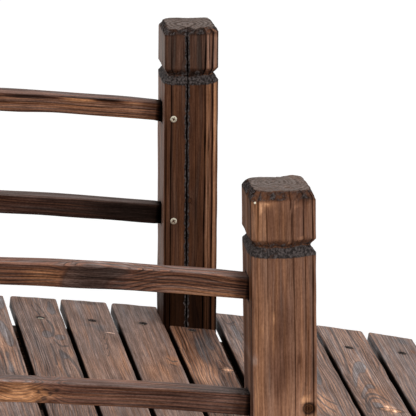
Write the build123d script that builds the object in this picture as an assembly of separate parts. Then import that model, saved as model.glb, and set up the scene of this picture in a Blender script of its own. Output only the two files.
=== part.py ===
"""Arched wooden garden footbridge with slatted deck, notched posts and mortised rails.

Millimetres. Origin on the ground under the middle of the bridge, +X along the bridge,
+Y across it towards the far railing, +Z up.
"""

from build123d import *
import math
import os

# Deck
deck_height = 185.0          # crown of the walking surface above the ground
deck_radius = 3800.0         # arch of the walking surface
slat_pitch = 50.0            # along the arch, from one slat to the next
slat_gap = 6.0
slat_thick = 10.0
slat_overhang = 11.0         # slat ends past the outer faces of the posts
slat_round = 1.6             # eased arris on the slats
post_slat_play = 0.2         # from the end of a short slat to the post
slats_between_posts = 20
slats_beyond_post = 4
slat_seat = 0.1              # play between the flat slats and the curved stringers

# Posts
post_width = 50.0
post_height = 291.0          # post top above the deck beside it
post_gap_inner = 1.0         # from the post to the slat on its midspan side
post_gap_outer = 5.0         # from the post to the slat on its other side
post_ground_clear = 32.0     # lower end of the post above the ground
post_spread = 604.0          # across the bridge, centre to centre
head_height = 45.0           # from the notch's apex to the top
notch_depth = 4.0
notch_height = 11.0
head_bevel_side = 4.0
head_bevel_drop = 6.5

# Rails
rail_thick = 18.0
rail_high = 17.5
rail_radius = 4100.0
upper_rail_level = 206.0     # rail centre above the deck beside the post
lower_rail_level = 107.5
rail_round = 2.5
tenon_length = 30.0          # how far a rail runs into the post
mortise_play = 0.4

# Stringers and battens
stringer_thick = 20.0
stringer_depth = 90.0        # at the crown
stringer_inset = 7.0         # deck end past the stringer end, along the arch
foot_length = 95.0
batten_wide = 30.0
batten_high = 45.0
batten_play = 0.2

# Positions along the arch, measured on the walking surface from the crown
slat_width = slat_pitch - slat_gap
slot_start = (slats_between_posts * slat_pitch - slat_gap) / 2
post_slot = post_gap_inner + post_width + post_gap_outer
slot_end = slot_start + post_slot
post_arc = slot_start + post_gap_inner + post_width / 2
post_slat_arc = slot_start + post_slot / 2
post_slat_width = post_slot - 2 * slat_gap
deck_arc = slot_end + slats_beyond_post * slat_pitch - slat_gap
stringer_arc = deck_arc - stringer_inset
slat_length = post_spread + post_width + 2 * slat_overhang


def arch_x(arc):
    """Horizontal distance from the crown of a point on the walking surface."""
    return deck_radius * math.sin(arc / deck_radius)


def arch_z(arc):
    """Height above the ground of a point on the walking surface."""
    return deck_height - deck_radius * (1 - math.cos(arc / deck_radius))


post_x = arch_x(post_arc)
post_level = arch_z(post_arc)
post_top = post_level + post_height
post_inner_face = post_spread / 2 - post_width / 2
stringer_end = arch_x(stringer_arc)
stringer_top_radius = deck_radius - slat_thick - slat_seat
arch_rise = deck_height - slat_thick - slat_seat - stringer_depth


def on_deck(arc, side):
    """Location on the walking surface, turned to lie along the arch; side is -1 or +1."""
    tilt = side * math.degrees(arc / deck_radius)
    return Pos(side * arch_x(arc), 0, arch_z(arc)) * Rot(0, tilt, 0)


def slat(width, length):
    """A flat slat whose top is at z = 0, with eased long edges and ends."""
    board = Pos(0, 0, -slat_thick / 2) * Box(width, length, slat_thick)
    top_edges = board.faces().sort_by(Axis.Z)[-1].edges()
    return fillet(top_edges, slat_round)


def row_of_slats(first_arc, count):
    """Middles of a row of slats that starts at an edge on the arch."""
    return [first_arc + slat_width / 2 + number * slat_pitch for number in range(count)]


def deck_slats():
    """Every slat from the left end to the right end, as located solids."""
    full = slat(slat_width, slat_length)
    short = slat(post_slat_width, 2 * (post_inner_face - post_slat_play))
    end_arcs = row_of_slats(slot_end, slats_beyond_post)
    middle_arcs = row_of_slats(-slot_start, slats_between_posts)
    left_end = [on_deck(arc, -1) * full for arc in reversed(end_arcs)]
    middle = [on_deck(arc, 1) * full for arc in middle_arcs]
    right_end = [on_deck(arc, 1) * full for arc in end_arcs]
    left_short = on_deck(post_slat_arc, -1) * short
    right_short = on_deck(post_slat_arc, 1) * short
    return left_end + [left_short] + middle + [right_short] + right_end


def stringer():
    """Side board with an arched top, an arched underside and a flat foot at each end."""
    end_top = deck_height - deck_radius + math.sqrt(stringer_top_radius**2 - stringer_end**2)
    crown_top = deck_height - slat_thick - slat_seat
    foot_start = stringer_end - foot_length
    with BuildPart() as board:
        with BuildSketch(Plane.XZ):
            with BuildLine():
                ThreePointArc((-stringer_end, end_top), (0, crown_top), (stringer_end, end_top))
                Polyline((stringer_end, end_top), (stringer_end, 0), (foot_start, 0))
                ThreePointArc((foot_start, 0), (0, arch_rise), (-foot_start, 0))
                Polyline((-foot_start, 0), (-stringer_end, 0), (-stringer_end, end_top))
            make_face()
        extrude(amount=stringer_thick / 2, both=True)
    return board.part


def rail(level, play=0.0):
    """Arched rail at a level above the deck; play grows it into the tool for its mortises."""
    face_x = post_x - post_width / 2
    centre_z = post_level + level - math.sqrt(rail_radius**2 - face_x**2)
    reach = math.degrees(math.asin((face_x + tenon_length - mortise_play + play) / rail_radius))
    with BuildPart() as bar:
        with BuildSketch(Plane.YZ):
            with Locations((0, rail_radius)):
                RectangleRounded(rail_thick + 2 * play, rail_high + 2 * play, rail_round + play)
        revolve(axis=Axis.Y, revolution_arc=2 * reach)
    return Pos(0, 0, centre_z) * Rot(0, -reach, 0) * bar.part


def notch():
    """Ring with a V section that cuts the groove round a post, apex at z = 0."""
    face = Rectangle(post_width, post_width)
    waist = Rectangle(post_width - 2 * notch_depth, post_width - 2 * notch_depth)
    upper = loft([waist, Pos(0, 0, notch_height / 2) * face])
    lower = loft([Pos(0, 0, -notch_height / 2) * face, waist])
    return Box(2 * post_width, 2 * post_width, notch_height) - upper - lower


def post(side):
    """Post at x = side * post_x and y = 0, with its notch, bevelled head and two mortises."""
    length = post_top - post_ground_clear
    body = Pos(0, 0, post_ground_clear + length / 2) * Box(post_width, post_width, length)
    top_face = body.faces().sort_by(Axis.Z)[-1]
    body = chamfer(top_face.edges(), head_bevel_side, head_bevel_drop, reference=top_face)
    body = body - Pos(0, 0, post_top - head_height) * notch()
    body = Pos(side * post_x, 0, 0) * body
    for level in (upper_rail_level, lower_rail_level):
        body = body - rail(level, mortise_play)
    return body


def batten():
    """Cross batten for the bay between the middle and a side stringer, top at z = 0."""
    bay = post_inner_face - 1.5 * stringer_thick - 2 * batten_play
    return Pos(0, 0, -batten_high / 2) * Box(batten_wide, bay, batten_high)


def save(name, shape):
    """Write one node to its STEP file."""
    export_step(shape, f"parts/{name}.step")


def build():
    os.makedirs("parts", exist_ok=True)
    for number, piece in enumerate(deck_slats(), 1):
        save(f"slat_{number:02d}", piece)

    board = stringer()
    stringer_y = post_inner_face - stringer_thick / 2
    for name, y in (("near", -stringer_y), ("middle", 0), ("far", stringer_y)):
        save(f"{name}_stringer", Pos(0, y, 0) * board)

    for end, side in (("left", -1), ("right", 1)):
        column = post(side)
        for row, y in (("near", -post_spread / 2), ("far", post_spread / 2)):
            save(f"{row}_{end}_post", Pos(0, y, 0) * column)

    for tier, level in (("upper", upper_rail_level), ("lower", lower_rail_level)):
        bar = rail(level)
        for row, y in (("near", -post_spread / 2), ("far", post_spread / 2)):
            save(f"{row}_{tier}_rail", Pos(0, y, 0) * bar)

    cross = batten()
    bay_middle = (post_inner_face - stringer_thick / 2) / 2
    for end, side in (("left", -1), ("right", 1)):
        under_slat = on_deck(post_slat_arc, side) * Pos(0, 0, -slat_thick - slat_seat)
        for row, y in (("near", -bay_middle), ("far", bay_middle)):
            save(f"{row}_{end}_batten", under_slat * Pos(0, y, 0) * cross)


build()
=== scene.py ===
"""Looks of the arched wooden footbridge: scorched and stained softwood with worn edges and its screws.

Lengths are in millimetres until a mesh is made. +X runs along the bridge, +Y across it towards the
far railing, +Z up. Boards are shaped in their own coordinates: across, deep and along. The tone of a
point says how it differs from plain wood, by scorch, light and warmth; in places its light and warmth
hold painted shade and painted highlights, as noted there.
"""

import math
from types import SimpleNamespace

import bpy
import numpy as np
from mathutils import Matrix, Vector


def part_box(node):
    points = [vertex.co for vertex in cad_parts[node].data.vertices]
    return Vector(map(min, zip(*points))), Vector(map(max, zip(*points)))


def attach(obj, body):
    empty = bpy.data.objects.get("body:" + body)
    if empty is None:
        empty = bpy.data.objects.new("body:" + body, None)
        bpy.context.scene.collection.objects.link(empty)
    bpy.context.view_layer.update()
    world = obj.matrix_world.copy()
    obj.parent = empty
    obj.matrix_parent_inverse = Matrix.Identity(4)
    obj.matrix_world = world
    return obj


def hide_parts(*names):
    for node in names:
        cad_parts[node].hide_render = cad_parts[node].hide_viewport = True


MM = 0.001
SATIN = 0.18          # gloss of brushed wood
BUMP = 0.4
BUMP_DEPTH = 0.0007   # in metres
WOOD_ROUGHNESS = 0.62
ALONG_SHARE = 0.3     # figure is long drawn, so lengths along a board count for this share
NO_MARK = 4.0         # from here on a knot, blot or vein no longer shows

# Sizes that the looks share with the part
DECK_HEIGHT = 185.0
DECK_RADIUS = 3800.0
SLAT_WIDTH = 44.0
SLAT_THICK = 10.0
LONG_SLAT = 600.0     # slats longer than this run past the posts
POST_WIDTH = 50.0
POST_HALF = POST_WIDTH / 2
POST_X = 521.35
POST_Y = 302.0
POST_TOP = 440.07
POST_BOTTOM = 32.0
DECK_BESIDE_POST = 149.07
NOTCH_LEVEL = 395.07
NOTCH_DEPTH = 4.0
NOTCH_HALF = 5.5
BEVEL_SIDE = 4.0
BEVEL_DROP = 6.5
BEVEL_START = POST_TOP - BEVEL_DROP
RAIL_THICK = 18.0
RAIL_HIGH = 17.5
RAIL_RADIUS = 4100.0
RAIL_LEVELS = {"upper": 355.07, "lower": 256.57}
RAIL_REACH = 525.95
RAIL_FACE = POST_X - POST_HALF
MORTISE_DEPTH = 30.0
STRINGER_THICK = 20.0
STRINGER_Y = 267.0
STRINGER_END = 735.33
FOOT_START = 640.33
STRINGER_TOP_RADIUS = 3789.9
ARCH_RISE = 84.9
BATTEN_ARC = 525.0
BATTEN_WIDE = 30.0
BATTEN_HIGH = 45.0

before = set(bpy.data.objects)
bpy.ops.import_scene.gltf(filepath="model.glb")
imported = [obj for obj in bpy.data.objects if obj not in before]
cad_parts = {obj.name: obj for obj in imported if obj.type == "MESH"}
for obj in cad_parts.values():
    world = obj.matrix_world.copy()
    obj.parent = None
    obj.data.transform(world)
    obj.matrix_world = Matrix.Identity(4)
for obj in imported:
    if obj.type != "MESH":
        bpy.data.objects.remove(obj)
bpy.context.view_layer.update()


# Numbers that repeat


def ripple(points, seed, sizes, count=12):
    """Smooth noise, mostly -1 to 1, at points; sizes are its wavelengths along the three axes."""
    rng = np.random.default_rng(seed)
    waves = rng.normal(size=(count, 3)) * (2 * math.pi / np.asarray(sizes, float))
    phases = rng.uniform(0, 2 * math.pi, count)
    return np.sin(points @ waves.T + phases).sum(1) * math.sqrt(1.1 / count)


def drift(along, seed, size, count=5):
    """Smooth noise, mostly -1 to 1, of one number."""
    rng = np.random.default_rng(seed)
    waves = rng.uniform(0.4, 1.3, count) * 2 * math.pi / size
    phases = rng.uniform(0, 2 * math.pi, count)
    return np.sin(np.multiply.outer(along, waves) + phases).sum(-1) * math.sqrt(1.1 / count)


def ease(value, low, high):
    """0 below low, 1 above high and a smooth step between."""
    share = np.clip((value - low) / (high - low), 0, 1)
    return share * share * (3 - 2 * share)


def hill(value, place, reach):
    """1 at the place, falling smoothly to nothing past the reach."""
    return np.exp(-(((value - place) / reach) ** 2))


def stations(marks, step):
    """Sorted positions through every mark, at most step apart."""
    marks = sorted(set(round(float(mark), 4) for mark in marks))
    rows = [marks[0]]
    for low, high in zip(marks, marks[1:]):
        cells = max(1, math.ceil((high - low) / step - 1e-6))
        rows.extend(low + (high - low) * cell / cells for cell in range(1, cells + 1))
    return np.array(rows)


# Timber: rings round a wandering pith, and knots


class Timber:
    """Rings of one piece of wood. Points are (across, deep, along) in the board's coordinates."""

    def __init__(self, seed, pith, spacing=4.0, tilt=(0.0, 0.0), wander=1.5, wobble=0.3, knots=(), swirls=()):
        self.seed = seed
        self.pith = pith
        self.tilt = tilt
        self.wander = wander
        self.wobble = wobble
        self.knots = knots
        self.swirls = swirls
        steps = np.random.default_rng(seed).uniform(0.6, 1.4, 60) * spacing
        self.radii = np.concatenate([[0.0], np.cumsum(steps)])

    def pith_at(self, along):
        """Across and deep of the pith line at places along the board."""
        across = self.pith[0] + self.tilt[0] * along + self.wander * drift(along, self.seed + 1, 380)
        deep = self.pith[1] + self.tilt[1] * along + self.wander * drift(along, self.seed + 2, 330)
        return across, deep

    def ring(self, points):
        """How many rings lie between the pith and each point."""
        across, deep = self.pith_at(points[:, 2])
        radius = np.hypot(points[:, 0] - across, points[:, 1] - deep)
        count = np.interp(radius, self.radii, np.arange(len(self.radii)))
        count += self.wobble * ripple(points, self.seed + 3, (38, 38, 150))
        for centre, size, swirl in self.knots:
            away = (points - centre) / (2.2 * size, 2.2 * size, 4.5 * size)
            count += swirl * np.exp(-(away**2).sum(1))
        for (across_at, along_at), (reach_across, reach_along), lean, height in self.swirls:
            beside = points[:, 0] - lean * (points[:, 2] - along_at)
            near = hill(beside, across_at, reach_across) * hill(points[:, 2], along_at, reach_along)
            count += height * near
        return count

    def knot(self, points):
        """Distance to the nearest knot's middle line in knot radii."""
        nearest = np.full(len(points), NO_MARK)
        for centre, size, _ in self.knots:
            across, deep = self.pith_at(np.array(centre[2:], float))
            line = np.array([across[0], deep[0], centre[2] - 0.25 * size]) - centre
            line /= np.linalg.norm(line)
            offset = points - centre
            beside = (offset - np.outer(offset @ line, line)) * (1, 1, 0.8)
            nearest = np.minimum(nearest, np.linalg.norm(beside, axis=1) / size)
        return nearest


# Meshes


def belt(first, second):
    """Quads between two loops of as many corners."""
    return list(zip(first, first[1:] + first[:1], second[1:] + second[:1], second))


def fan(loop, tip):
    """Triangles from a loop to its tip."""
    return list(zip(loop, loop[1:] + loop[:1], [tip] * len(loop)))


def tube(rows, cols, windows=()):
    """Quads over a grid of rows that close on themselves, without the cells in the windows."""
    skip = set()
    for row_from, row_to, col_from, col_to in windows:
        skip.update((row, col) for row in range(row_from, row_to) for col in range(col_from, col_to))
    rings = [list(range(row * cols, (row + 1) * cols)) for row in range(rows)]
    faces = []
    for row in range(rows - 1):
        quads = belt(rings[row], rings[row + 1])
        faces.extend(quad for col, quad in enumerate(quads) if (row, col) not in skip)
    return faces


def filled(points, faces, loop, rings, tip, flip=False):
    """Closes a loop of corners with rings of as many points and a last fan to the tip."""
    made = []
    previous = loop
    count = len(points)
    for _ in rings:
        current = list(range(count, count + len(loop)))
        made += belt(previous, current)
        previous = current
        count += len(loop)
    made += fan(previous, count)
    faces.extend(face[::-1] if flip else face for face in made)
    return np.concatenate([points, *rings, np.array([tip], float)])


def cap(points, faces, row, cols, shares):
    """Closes a board's first or last row with rings that shrink to its middle by the shares."""
    loop = list(range(row * cols, (row + 1) * cols))
    edge = points[loop]
    middle = edge.mean(0)
    rings = [middle + (edge - middle) * share for share in shares]
    return filled(points, faces, loop, rings, middle, flip=row == 0)


def bored(points, faces, loop, centre, profile):
    """Fills a window in a board's upper face with a round hole; profile is (radius, depth) pairs."""
    edge = points[loop]
    angle = np.arctan2(edge[:, 2] - centre[1], edge[:, 0] - centre[0])
    way = np.stack([np.cos(angle), np.zeros(len(loop)), np.sin(angle)], axis=1)
    rings = [radius * way + (centre[0], -depth, centre[1]) for radius, depth in profile]
    return filled(points, faces, loop, rings, (centre[0], -profile[-1][1], centre[1]))


def closed_board(across, deep, along, shares, windows=()):
    """Points and faces of a board from the outline of each row, closed at both ends."""
    rows, cols = across.shape
    points = np.stack([across, deep, np.repeat(along[:, None], cols, 1)], axis=2).reshape(-1, 3)
    faces = tube(rows, cols, windows)
    points = cap(points, faces, 0, cols, shares)
    return cap(points, faces, rows - 1, cols, shares), faces


def mirrored(*places):
    """Places on both sides of a middle, given from the outside in."""
    return np.array([-place for place in places] + list(places[::-1]))


def section(flat, upright, low, high, rows):
    """Across and deep round a section, in every row, from the places on its flat and upright sides."""
    count = len(upright)
    across = np.concatenate([flat, np.full(count, flat[-1]), flat[::-1], np.full(count, flat[0])])
    deep = np.concatenate([np.full(len(flat), high), upright[::-1], np.full(len(flat), low), upright])
    return np.tile(across, (rows, 1)), np.tile(deep, (rows, 1))


def rounded(across, deep, half_across, deep_low, deep_high, radius):
    """Moves points on a rectangle's outline onto the same rectangle with round corners."""
    core_across = np.clip(across, -(half_across - radius), half_across - radius)
    core_deep = np.clip(deep, deep_low + radius, deep_high - radius)
    away_across = across - core_across
    away_deep = deep - core_deep
    length = np.maximum(np.hypot(away_across, away_deep), 1e-9)
    return core_across + radius * away_across / length, core_deep + radius * away_deep / length


def side_wear(across, along, seed, size):
    """Uneven wear along a board's two sides."""
    return np.where(across > 0, drift(along, seed, size)[:, None], drift(along, seed + 1, size)[:, None])


def corner_wear(across, deep, along, seed, size):
    """Uneven wear along a board's four arrises."""
    courses = [drift(along, seed + corner, size)[:, None] for corner in range(4)]
    return np.choose((across > 0) * 2 + (deep > 0), courses)


def point_outwards(points, faces):
    """Whether the faces of a closed mesh already point outwards."""
    halves = [(face[0], *face[place:place + 2]) for face in faces for place in range(1, len(face) - 1)]
    first, second, third = (points - points.mean(0))[np.array(halves).T]
    return float((first * np.cross(second, third)).sum()) > 0


def new_object(name, data):
    """An object of its own in the scene."""
    item = bpy.data.objects.new(name, data)
    bpy.context.scene.collection.objects.link(item)
    return item


def make_mesh(name, points, faces, material, fields, sharp=38):
    """A smooth shaded object from points in millimetres, with its fields as point attributes."""
    if not point_outwards(points, faces):
        faces = [face[::-1] for face in faces]
    mesh = bpy.data.meshes.new(name)
    mesh.from_pydata((points * MM).tolist(), [], faces)
    for field, values in fields.items():
        values = np.asarray(values, np.float32)
        kind, key = ("FLOAT", "value") if values.ndim == 1 else ("FLOAT_VECTOR", "vector")
        mesh.attributes.new(field, kind, "POINT").data.foreach_set(key, values.ravel())
    mesh.materials.append(material)
    mesh.shade_smooth()
    mesh.set_sharp_from_angle(angle=math.radians(sharp))
    return new_object(name, mesh)


def uneven_tone(points, light, warmth):
    """Tone of points; light and warmth are (level, swing, seed, width, length) of slow changes."""
    tone = np.zeros_like(points)
    for column, (level, swing, seed, width, length) in enumerate((light, warmth), 1):
        tone[:, column] = level + swing * ripple(points, seed, (width, width, length))
    return tone


def paint(tone, rest, patches):
    """Soft patches on a board: each is (across, along), (reach across, reach along), change of tone."""
    for (across, along), (reach_across, reach_along), change in patches:
        away = ((rest[:, 0] - across) / reach_across) ** 2 + ((rest[:, 2] - along) / reach_along) ** 2
        tone += np.exp(-(away**2))[:, None] * np.asarray(change)


def softened(places):
    """A line through places with its corners cut twice, in a plane where figure isn't long drawn."""
    line = np.array(places, float)
    for _ in range(2):
        cut = np.concatenate([0.75 * line[:-1] + 0.25 * line[1:], 0.25 * line[:-1] + 0.75 * line[1:]], axis=1)
        line = np.concatenate([line[:1], cut.reshape(-1, 2), line[-1:]])
    return line * (1, ALONG_SHARE)


def to_segment(flat, start, end):
    """Distance of points in a plane from a straight piece of a line."""
    way = end - start
    share = np.clip((flat - start) @ way / max(way @ way, 1e-9), 0, 1)
    return np.linalg.norm(flat - start - share[:, None] * way, axis=1)


def drawn_figure(rest, seed, blots=(), veins=(), outlines=()):
    """How deep each point lies in a grey blot, in millimetres, and how many vein widths from a vein.

    Blots are (across, along), (reach across, reach along), taper. Outlines are blots with a drawn edge.
    """
    marks = np.zeros_like(rest)
    marks[:, 0] = -NO_MARK
    marks[:, 1] = NO_MARK
    for (across, along), (reach_across, reach_along), taper in blots:
        offset = rest[:, 2] - along
        width = reach_across * np.clip(1 - taper * offset / reach_along, 0.2, 2.0)
        away = np.hypot((rest[:, 0] - across) / width, offset / reach_along)
        marks[:, 0] = np.maximum(marks[:, 0], (1 - away) * min(reach_across, ALONG_SHARE * reach_along))
    marks[:, 0] += 0.7 * ripple(rest, seed + 60, (9, 9, 40)) * (marks[:, 0] > 1 - NO_MARK)
    flat = rest[:, [0, 2]] * (1, ALONG_SHARE)
    for outline in outlines:
        corners = softened(outline + outline[:1])
        nearest = np.full(len(flat), NO_MARK)
        inside = np.zeros(len(flat), bool)
        for start, end in zip(corners, corners[1:]):
            nearest = np.minimum(nearest, to_segment(flat, start, end))
            crossed = (start[1] > flat[:, 1]) != (end[1] > flat[:, 1])
            slope = (end[0] - start[0]) / ((end[1] - start[1]) or 1e-9)
            inside ^= crossed & (flat[:, 0] < start[0] + (flat[:, 1] - start[1]) * slope)
        marks[:, 0] = np.maximum(marks[:, 0], np.where(inside, nearest, -nearest))
    for width, places in veins:
        spots = softened(places)
        for start, end in zip(spots, spots[1:]):
            marks[:, 1] = np.minimum(marks[:, 1], to_segment(flat, start, end) / width)
    return marks


def ring_pitch(timber, rest, faces):
    """Millimetres from one ring line to the next, measured along the surface."""
    quads = np.array([face for face in faces if len(face) == 4])
    turned = np.cross(rest[quads[:, 2]] - rest[quads[:, 0]], rest[quads[:, 3]] - rest[quads[:, 1]])
    normals = np.zeros_like(rest)
    for corner in range(4):
        np.add.at(normals, quads[:, corner], turned)
    normals /= np.maximum(np.linalg.norm(normals, axis=1, keepdims=True), 1e-9)
    step = 0.5
    rings = timber.ring(rest)
    slope = np.stack([(timber.ring(rest + step * way) - rings) / step for way in np.eye(3)], axis=1)
    slope -= normals * (slope * normals).sum(1, keepdims=True)
    return np.clip(1 / np.maximum(np.linalg.norm(slope, axis=1), 1e-3), 0.8, 30.0)


def wood_piece(node, rest, world, faces, timber, tone, slot, figure=1.0, drawn=(), drawn_on=None):
    """A wooden piece that stands for a node; rest gives the grain and world the place."""
    offset = np.random.default_rng(timber.seed + 9000).uniform(-900, 900, 3)
    fields = {
        "rest": rest + offset,
        "ring": timber.ring(rest),
        "pitch": ring_pitch(timber, rest, faces),
        "knot": timber.knot(rest),
        "tone": tone,
        "drawn": drawn_figure(rest if drawn_on is None else drawn_on, timber.seed, *drawn),
        "figure": np.full(len(rest), figure),
    }
    item = make_mesh(node + "_wood", world, faces, woods[slot], fields)
    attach(item, "root")
    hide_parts(node)


# Materials


class Graph:
    """Short ways to add and link the nodes of a material or a world."""

    def __init__(self, owner):
        owner.use_nodes = True
        self.tree = owner.node_tree
        self.tree.nodes.clear()

    def add(self, kind, inputs=(), **settings):
        made = self.tree.nodes.new(kind)
        for name, value in settings.items():
            setattr(made, name, value)
        for key, value in dict(inputs).items():
            self.put(made.inputs[key], value)
        return made

    def put(self, socket, value):
        if isinstance(value, bpy.types.NodeSocket):
            self.tree.links.new(value, socket)
        else:
            socket.default_value = value

    def field(self, name, output="Fac"):
        return self.add("ShaderNodeAttribute", attribute_name=name).outputs[output]

    def split(self, vector):
        return self.add("ShaderNodeSeparateXYZ", {0: vector}).outputs

    def join(self, *parts):
        return self.add("ShaderNodeCombineXYZ", dict(enumerate(parts))).outputs[0]

    def chance(self, value):
        return self.add("ShaderNodeTexWhiteNoise", {"W": value}, noise_dimensions="1D").outputs["Value"]

    def math(self, operation, first, second=0.5, third=0.5, clamp=False):
        inputs = {0: first, 1: second, 2: third}
        return self.add("ShaderNodeMath", inputs, operation=operation, use_clamp=clamp).outputs[0]

    def times(self, first, second, clamp=False):
        return self.math("MULTIPLY", first, second, clamp=clamp)

    def scaled(self, value, factor, extra, clamp=False):
        """The value times a factor, plus something extra."""
        return self.math("MULTIPLY_ADD", value, factor, extra, clamp)

    def larger(self, first, second):
        return self.math("MAXIMUM", first, second)

    def smaller(self, first, second):
        return self.math("MINIMUM", first, second)

    def step(self, value, low, high, out_low=0.0, out_high=1.0):
        made = self.add("ShaderNodeMapRange", interpolation_type="SMOOTHSTEP")
        for socket, given in zip(made.inputs, (value, low, high, out_low, out_high)):
            self.put(socket, given)
        return made.outputs[0]

    def mix(self, share, first, second, blend="MIX"):
        made = self.add("ShaderNodeMix", {0: share, 6: first, 7: second}, data_type="RGBA", blend_type=blend)
        return made.outputs[2]

    def noise(self, vector, detail=2.0, roughness=0.55):
        inputs = {"Vector": vector, "Scale": 1.0, "Detail": detail, "Roughness": roughness}
        return self.add("ShaderNodeTexNoise", inputs).outputs["Fac"]

    def board_noise(self, rest, across, along, detail=2.0, roughness=0.55):
        """Noise of one fineness across a board and another along it."""
        factors = {0: rest, 1: (across, across, along)}
        stretched = self.add("ShaderNodeVectorMath", factors, operation="MULTIPLY").outputs[0]
        return self.noise(stretched, detail, roughness)

    def in_view(self):
        """1 for rays from the camera, from reflections and through glass."""
        rays = self.add("ShaderNodeLightPath").outputs
        seen = self.larger(rays["Is Camera Ray"], rays["Is Glossy Ray"])
        return self.larger(seen, rays["Is Transmission Ray"])

    def finish(self, surface, kind="Material"):
        self.add("ShaderNodeOutput" + kind, {"Surface": surface.outputs[0]})


def rgb(red, green, blue):
    return (red, green, blue, 1.0)


KNOT_RING = rgb(0.07, 0.03, 0.016)
KNOT_RIM = rgb(0.030, 0.017, 0.012)
CHAR_DARK = rgb(0.019, 0.015, 0.014)
CHAR_PALE = rgb(0.108, 0.088, 0.083)


def wood(name, early, late, warm, grey, grain=1.0, streaks=1.0):
    """Softwood with dark late wood, brushed fibres, knots, scorched places and a thin stain."""
    material = bpy.data.materials.new(name)
    graph = Graph(material)
    math_of, times, scaled, step, mix = graph.math, graph.times, graph.scaled, graph.step, graph.mix
    early, late, warm, grey = rgb(*early), rgb(*late), rgb(*warm), rgb(*grey)
    rest = graph.field("rest", "Vector")
    ring, knot, pitch, plain_figure = (graph.field(field) for field in ("ring", "knot", "pitch", "figure"))
    across, deep, along = graph.split(rest)
    scorch, light, warmth = graph.split(graph.field("tone", "Vector"))
    blot, vein, _ = graph.split(graph.field("drawn", "Vector"))

    # Rings: some are mostly grey late wood, and each ends in a thin dark line
    narrow = graph.board_noise(rest, 0.5, 0.02)
    wavering = scaled(narrow, 0.35, scaled(graph.board_noise(rest, 0.05, 0.007), 0.4, ring))
    blot = scaled(narrow, 1.2, math_of("SUBTRACT", blot, 0.6))
    vein = scaled(narrow, 0.7, math_of("SUBTRACT", vein, 0.35))
    from_edge = math_of("ABSOLUTE", blot)
    in_blot = step(blot, -0.2, 0.5)
    drawn_line = graph.larger(times(step(from_edge, 0.9, 0.2), 0.55), step(vein, 1.25, 0.55))
    figure = times(plain_figure, step(graph.smaller(from_edge, vein), 0.8, 3.0, 0.15, 1.0))
    figure = times(figure, scaled(in_blot, -0.8, 1.0))
    place = math_of("FRACT", wavering)
    count = math_of("FLOOR", wavering)
    start = scaled(graph.chance(count), 0.6, 0.15)
    body = times(step(place, start, math_of("ADD", start, 0.2)), step(place, 0.93, 1.0, 1.0, 0.0))
    body = times(body, figure, clamp=True)
    before_end = times(math_of("SUBTRACT", 1.0, place), pitch)
    line_width = graph.smaller(times(pitch, 0.42), 1.0)
    line = step(before_end, times(line_width, 0.6), times(line_width, 1.4), 1.0, 0.0)
    line = times(line, scaled(graph.chance(math_of("ADD", count, 0.5)), 0.6, 0.4))
    line = times(line, figure, clamp=True)

    # Fibres, partly along the board and partly along the rings
    beside = times(math_of("ADD", across, deep), 0.14)
    along_rings = graph.join(times(wavering, 4.5), beside, times(along, 0.012))
    ring_fibre = graph.noise(along_rings, 3.0, 0.6)
    board_fibre = graph.board_noise(rest, 0.62, 0.007, 3.0, 0.65)
    fibre = scaled(ring_fibre, 0.45, times(board_fibre, 0.55))
    streak = graph.board_noise(rest, 0.24, 0.005)
    pores = graph.board_noise(rest, 1.0, 0.04, 2.0, 0.6)
    blotch = graph.board_noise(rest, 0.055, 0.022, 3.0)
    patches = graph.board_noise(rest, 0.035, 0.008)
    hue = graph.board_noise(rest, 0.36, 0.009)
    speckle = graph.board_noise(rest, 0.9, 0.4, 2.0, 0.6)

    # Warm and grey stain between the lines
    warm_share = scaled(step(hue, 0.52, 0.72), 0.45, times(step(patches, 0.5, 0.72), 0.3))
    warm_share = math_of("ADD", warm_share, graph.larger(warmth, 0.0), clamp=True)
    cool = graph.larger(times(warmth, -1.0), 0.0)
    grey_share = scaled(cool, 0.7, times(body, scaled(cool, 0.8, 0.55)))
    grey_share = scaled(step(hue, 0.48, 0.3), 0.3, grey_share, clamp=True)
    grey_share = times(grey_share, scaled(warm_share, -0.6, 1.0), clamp=True)
    colour = mix(grey_share, mix(warm_share, early, warm), grey)
    colour = mix(times(in_blot, 0.7), colour, grey)
    colour = mix(times(drawn_line, 0.8), colour, mix(0.85, grey, late))
    colour = mix(times(line, 0.9), colour, late)

    # Knots: dark rim, warm core with its own rings
    knot = scaled(narrow, 0.3, math_of("SUBTRACT", knot, 0.15))
    core_rings = step(math_of("FRACT", times(knot, 3.2)), 0.2, 0.9)
    colour = mix(step(knot, 1.05, 0.9), colour, mix(times(core_rings, 0.6), warm, KNOT_RING))
    rim = times(step(knot, 0.72, 0.95), step(knot, 1.35, 1.0))
    colour = mix(times(rim, 0.75), colour, KNOT_RIM)

    # Fine contrast and overall lightness, the tone's painted shade and highlights included; darker wood is
    # also redder
    contrast = times(scaled(graph.smaller(plain_figure, 1.0), 0.5, 0.5), 4.2 * grain)
    shade = math_of("ADD", times(math_of("SUBTRACT", fibre, 0.5), contrast), 1.0)
    for fine, weight in ((streak, 1.1 * streaks), (pores, 1.8), (blotch, 0.9), (speckle, 1.0)):
        shade = times(shade, scaled(math_of("SUBTRACT", fine, 0.5), weight * grain, 1.0))
    shade = times(graph.larger(shade, 0.08), math_of("POWER", 2.0, light))
    redder = graph.larger(shade, 0.35)
    green, blue = (times(shade, math_of("POWER", redder, power)) for power in (0.14, 0.22))
    colour = mix(1.0, colour, graph.join(shade, green, blue), "MULTIPLY")

    # Scorched wood, with a broken edge
    broken = graph.board_noise(rest, 0.55, 0.4, 3.0, 0.6)
    charred = step(math_of("ADD", scorch, scaled(broken, 0.8, -0.4)), 0.25, 0.75)
    colour = mix(charred, colour, mix(step(broken, 0.38, 0.68), CHAR_DARK, CHAR_PALE))

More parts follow.
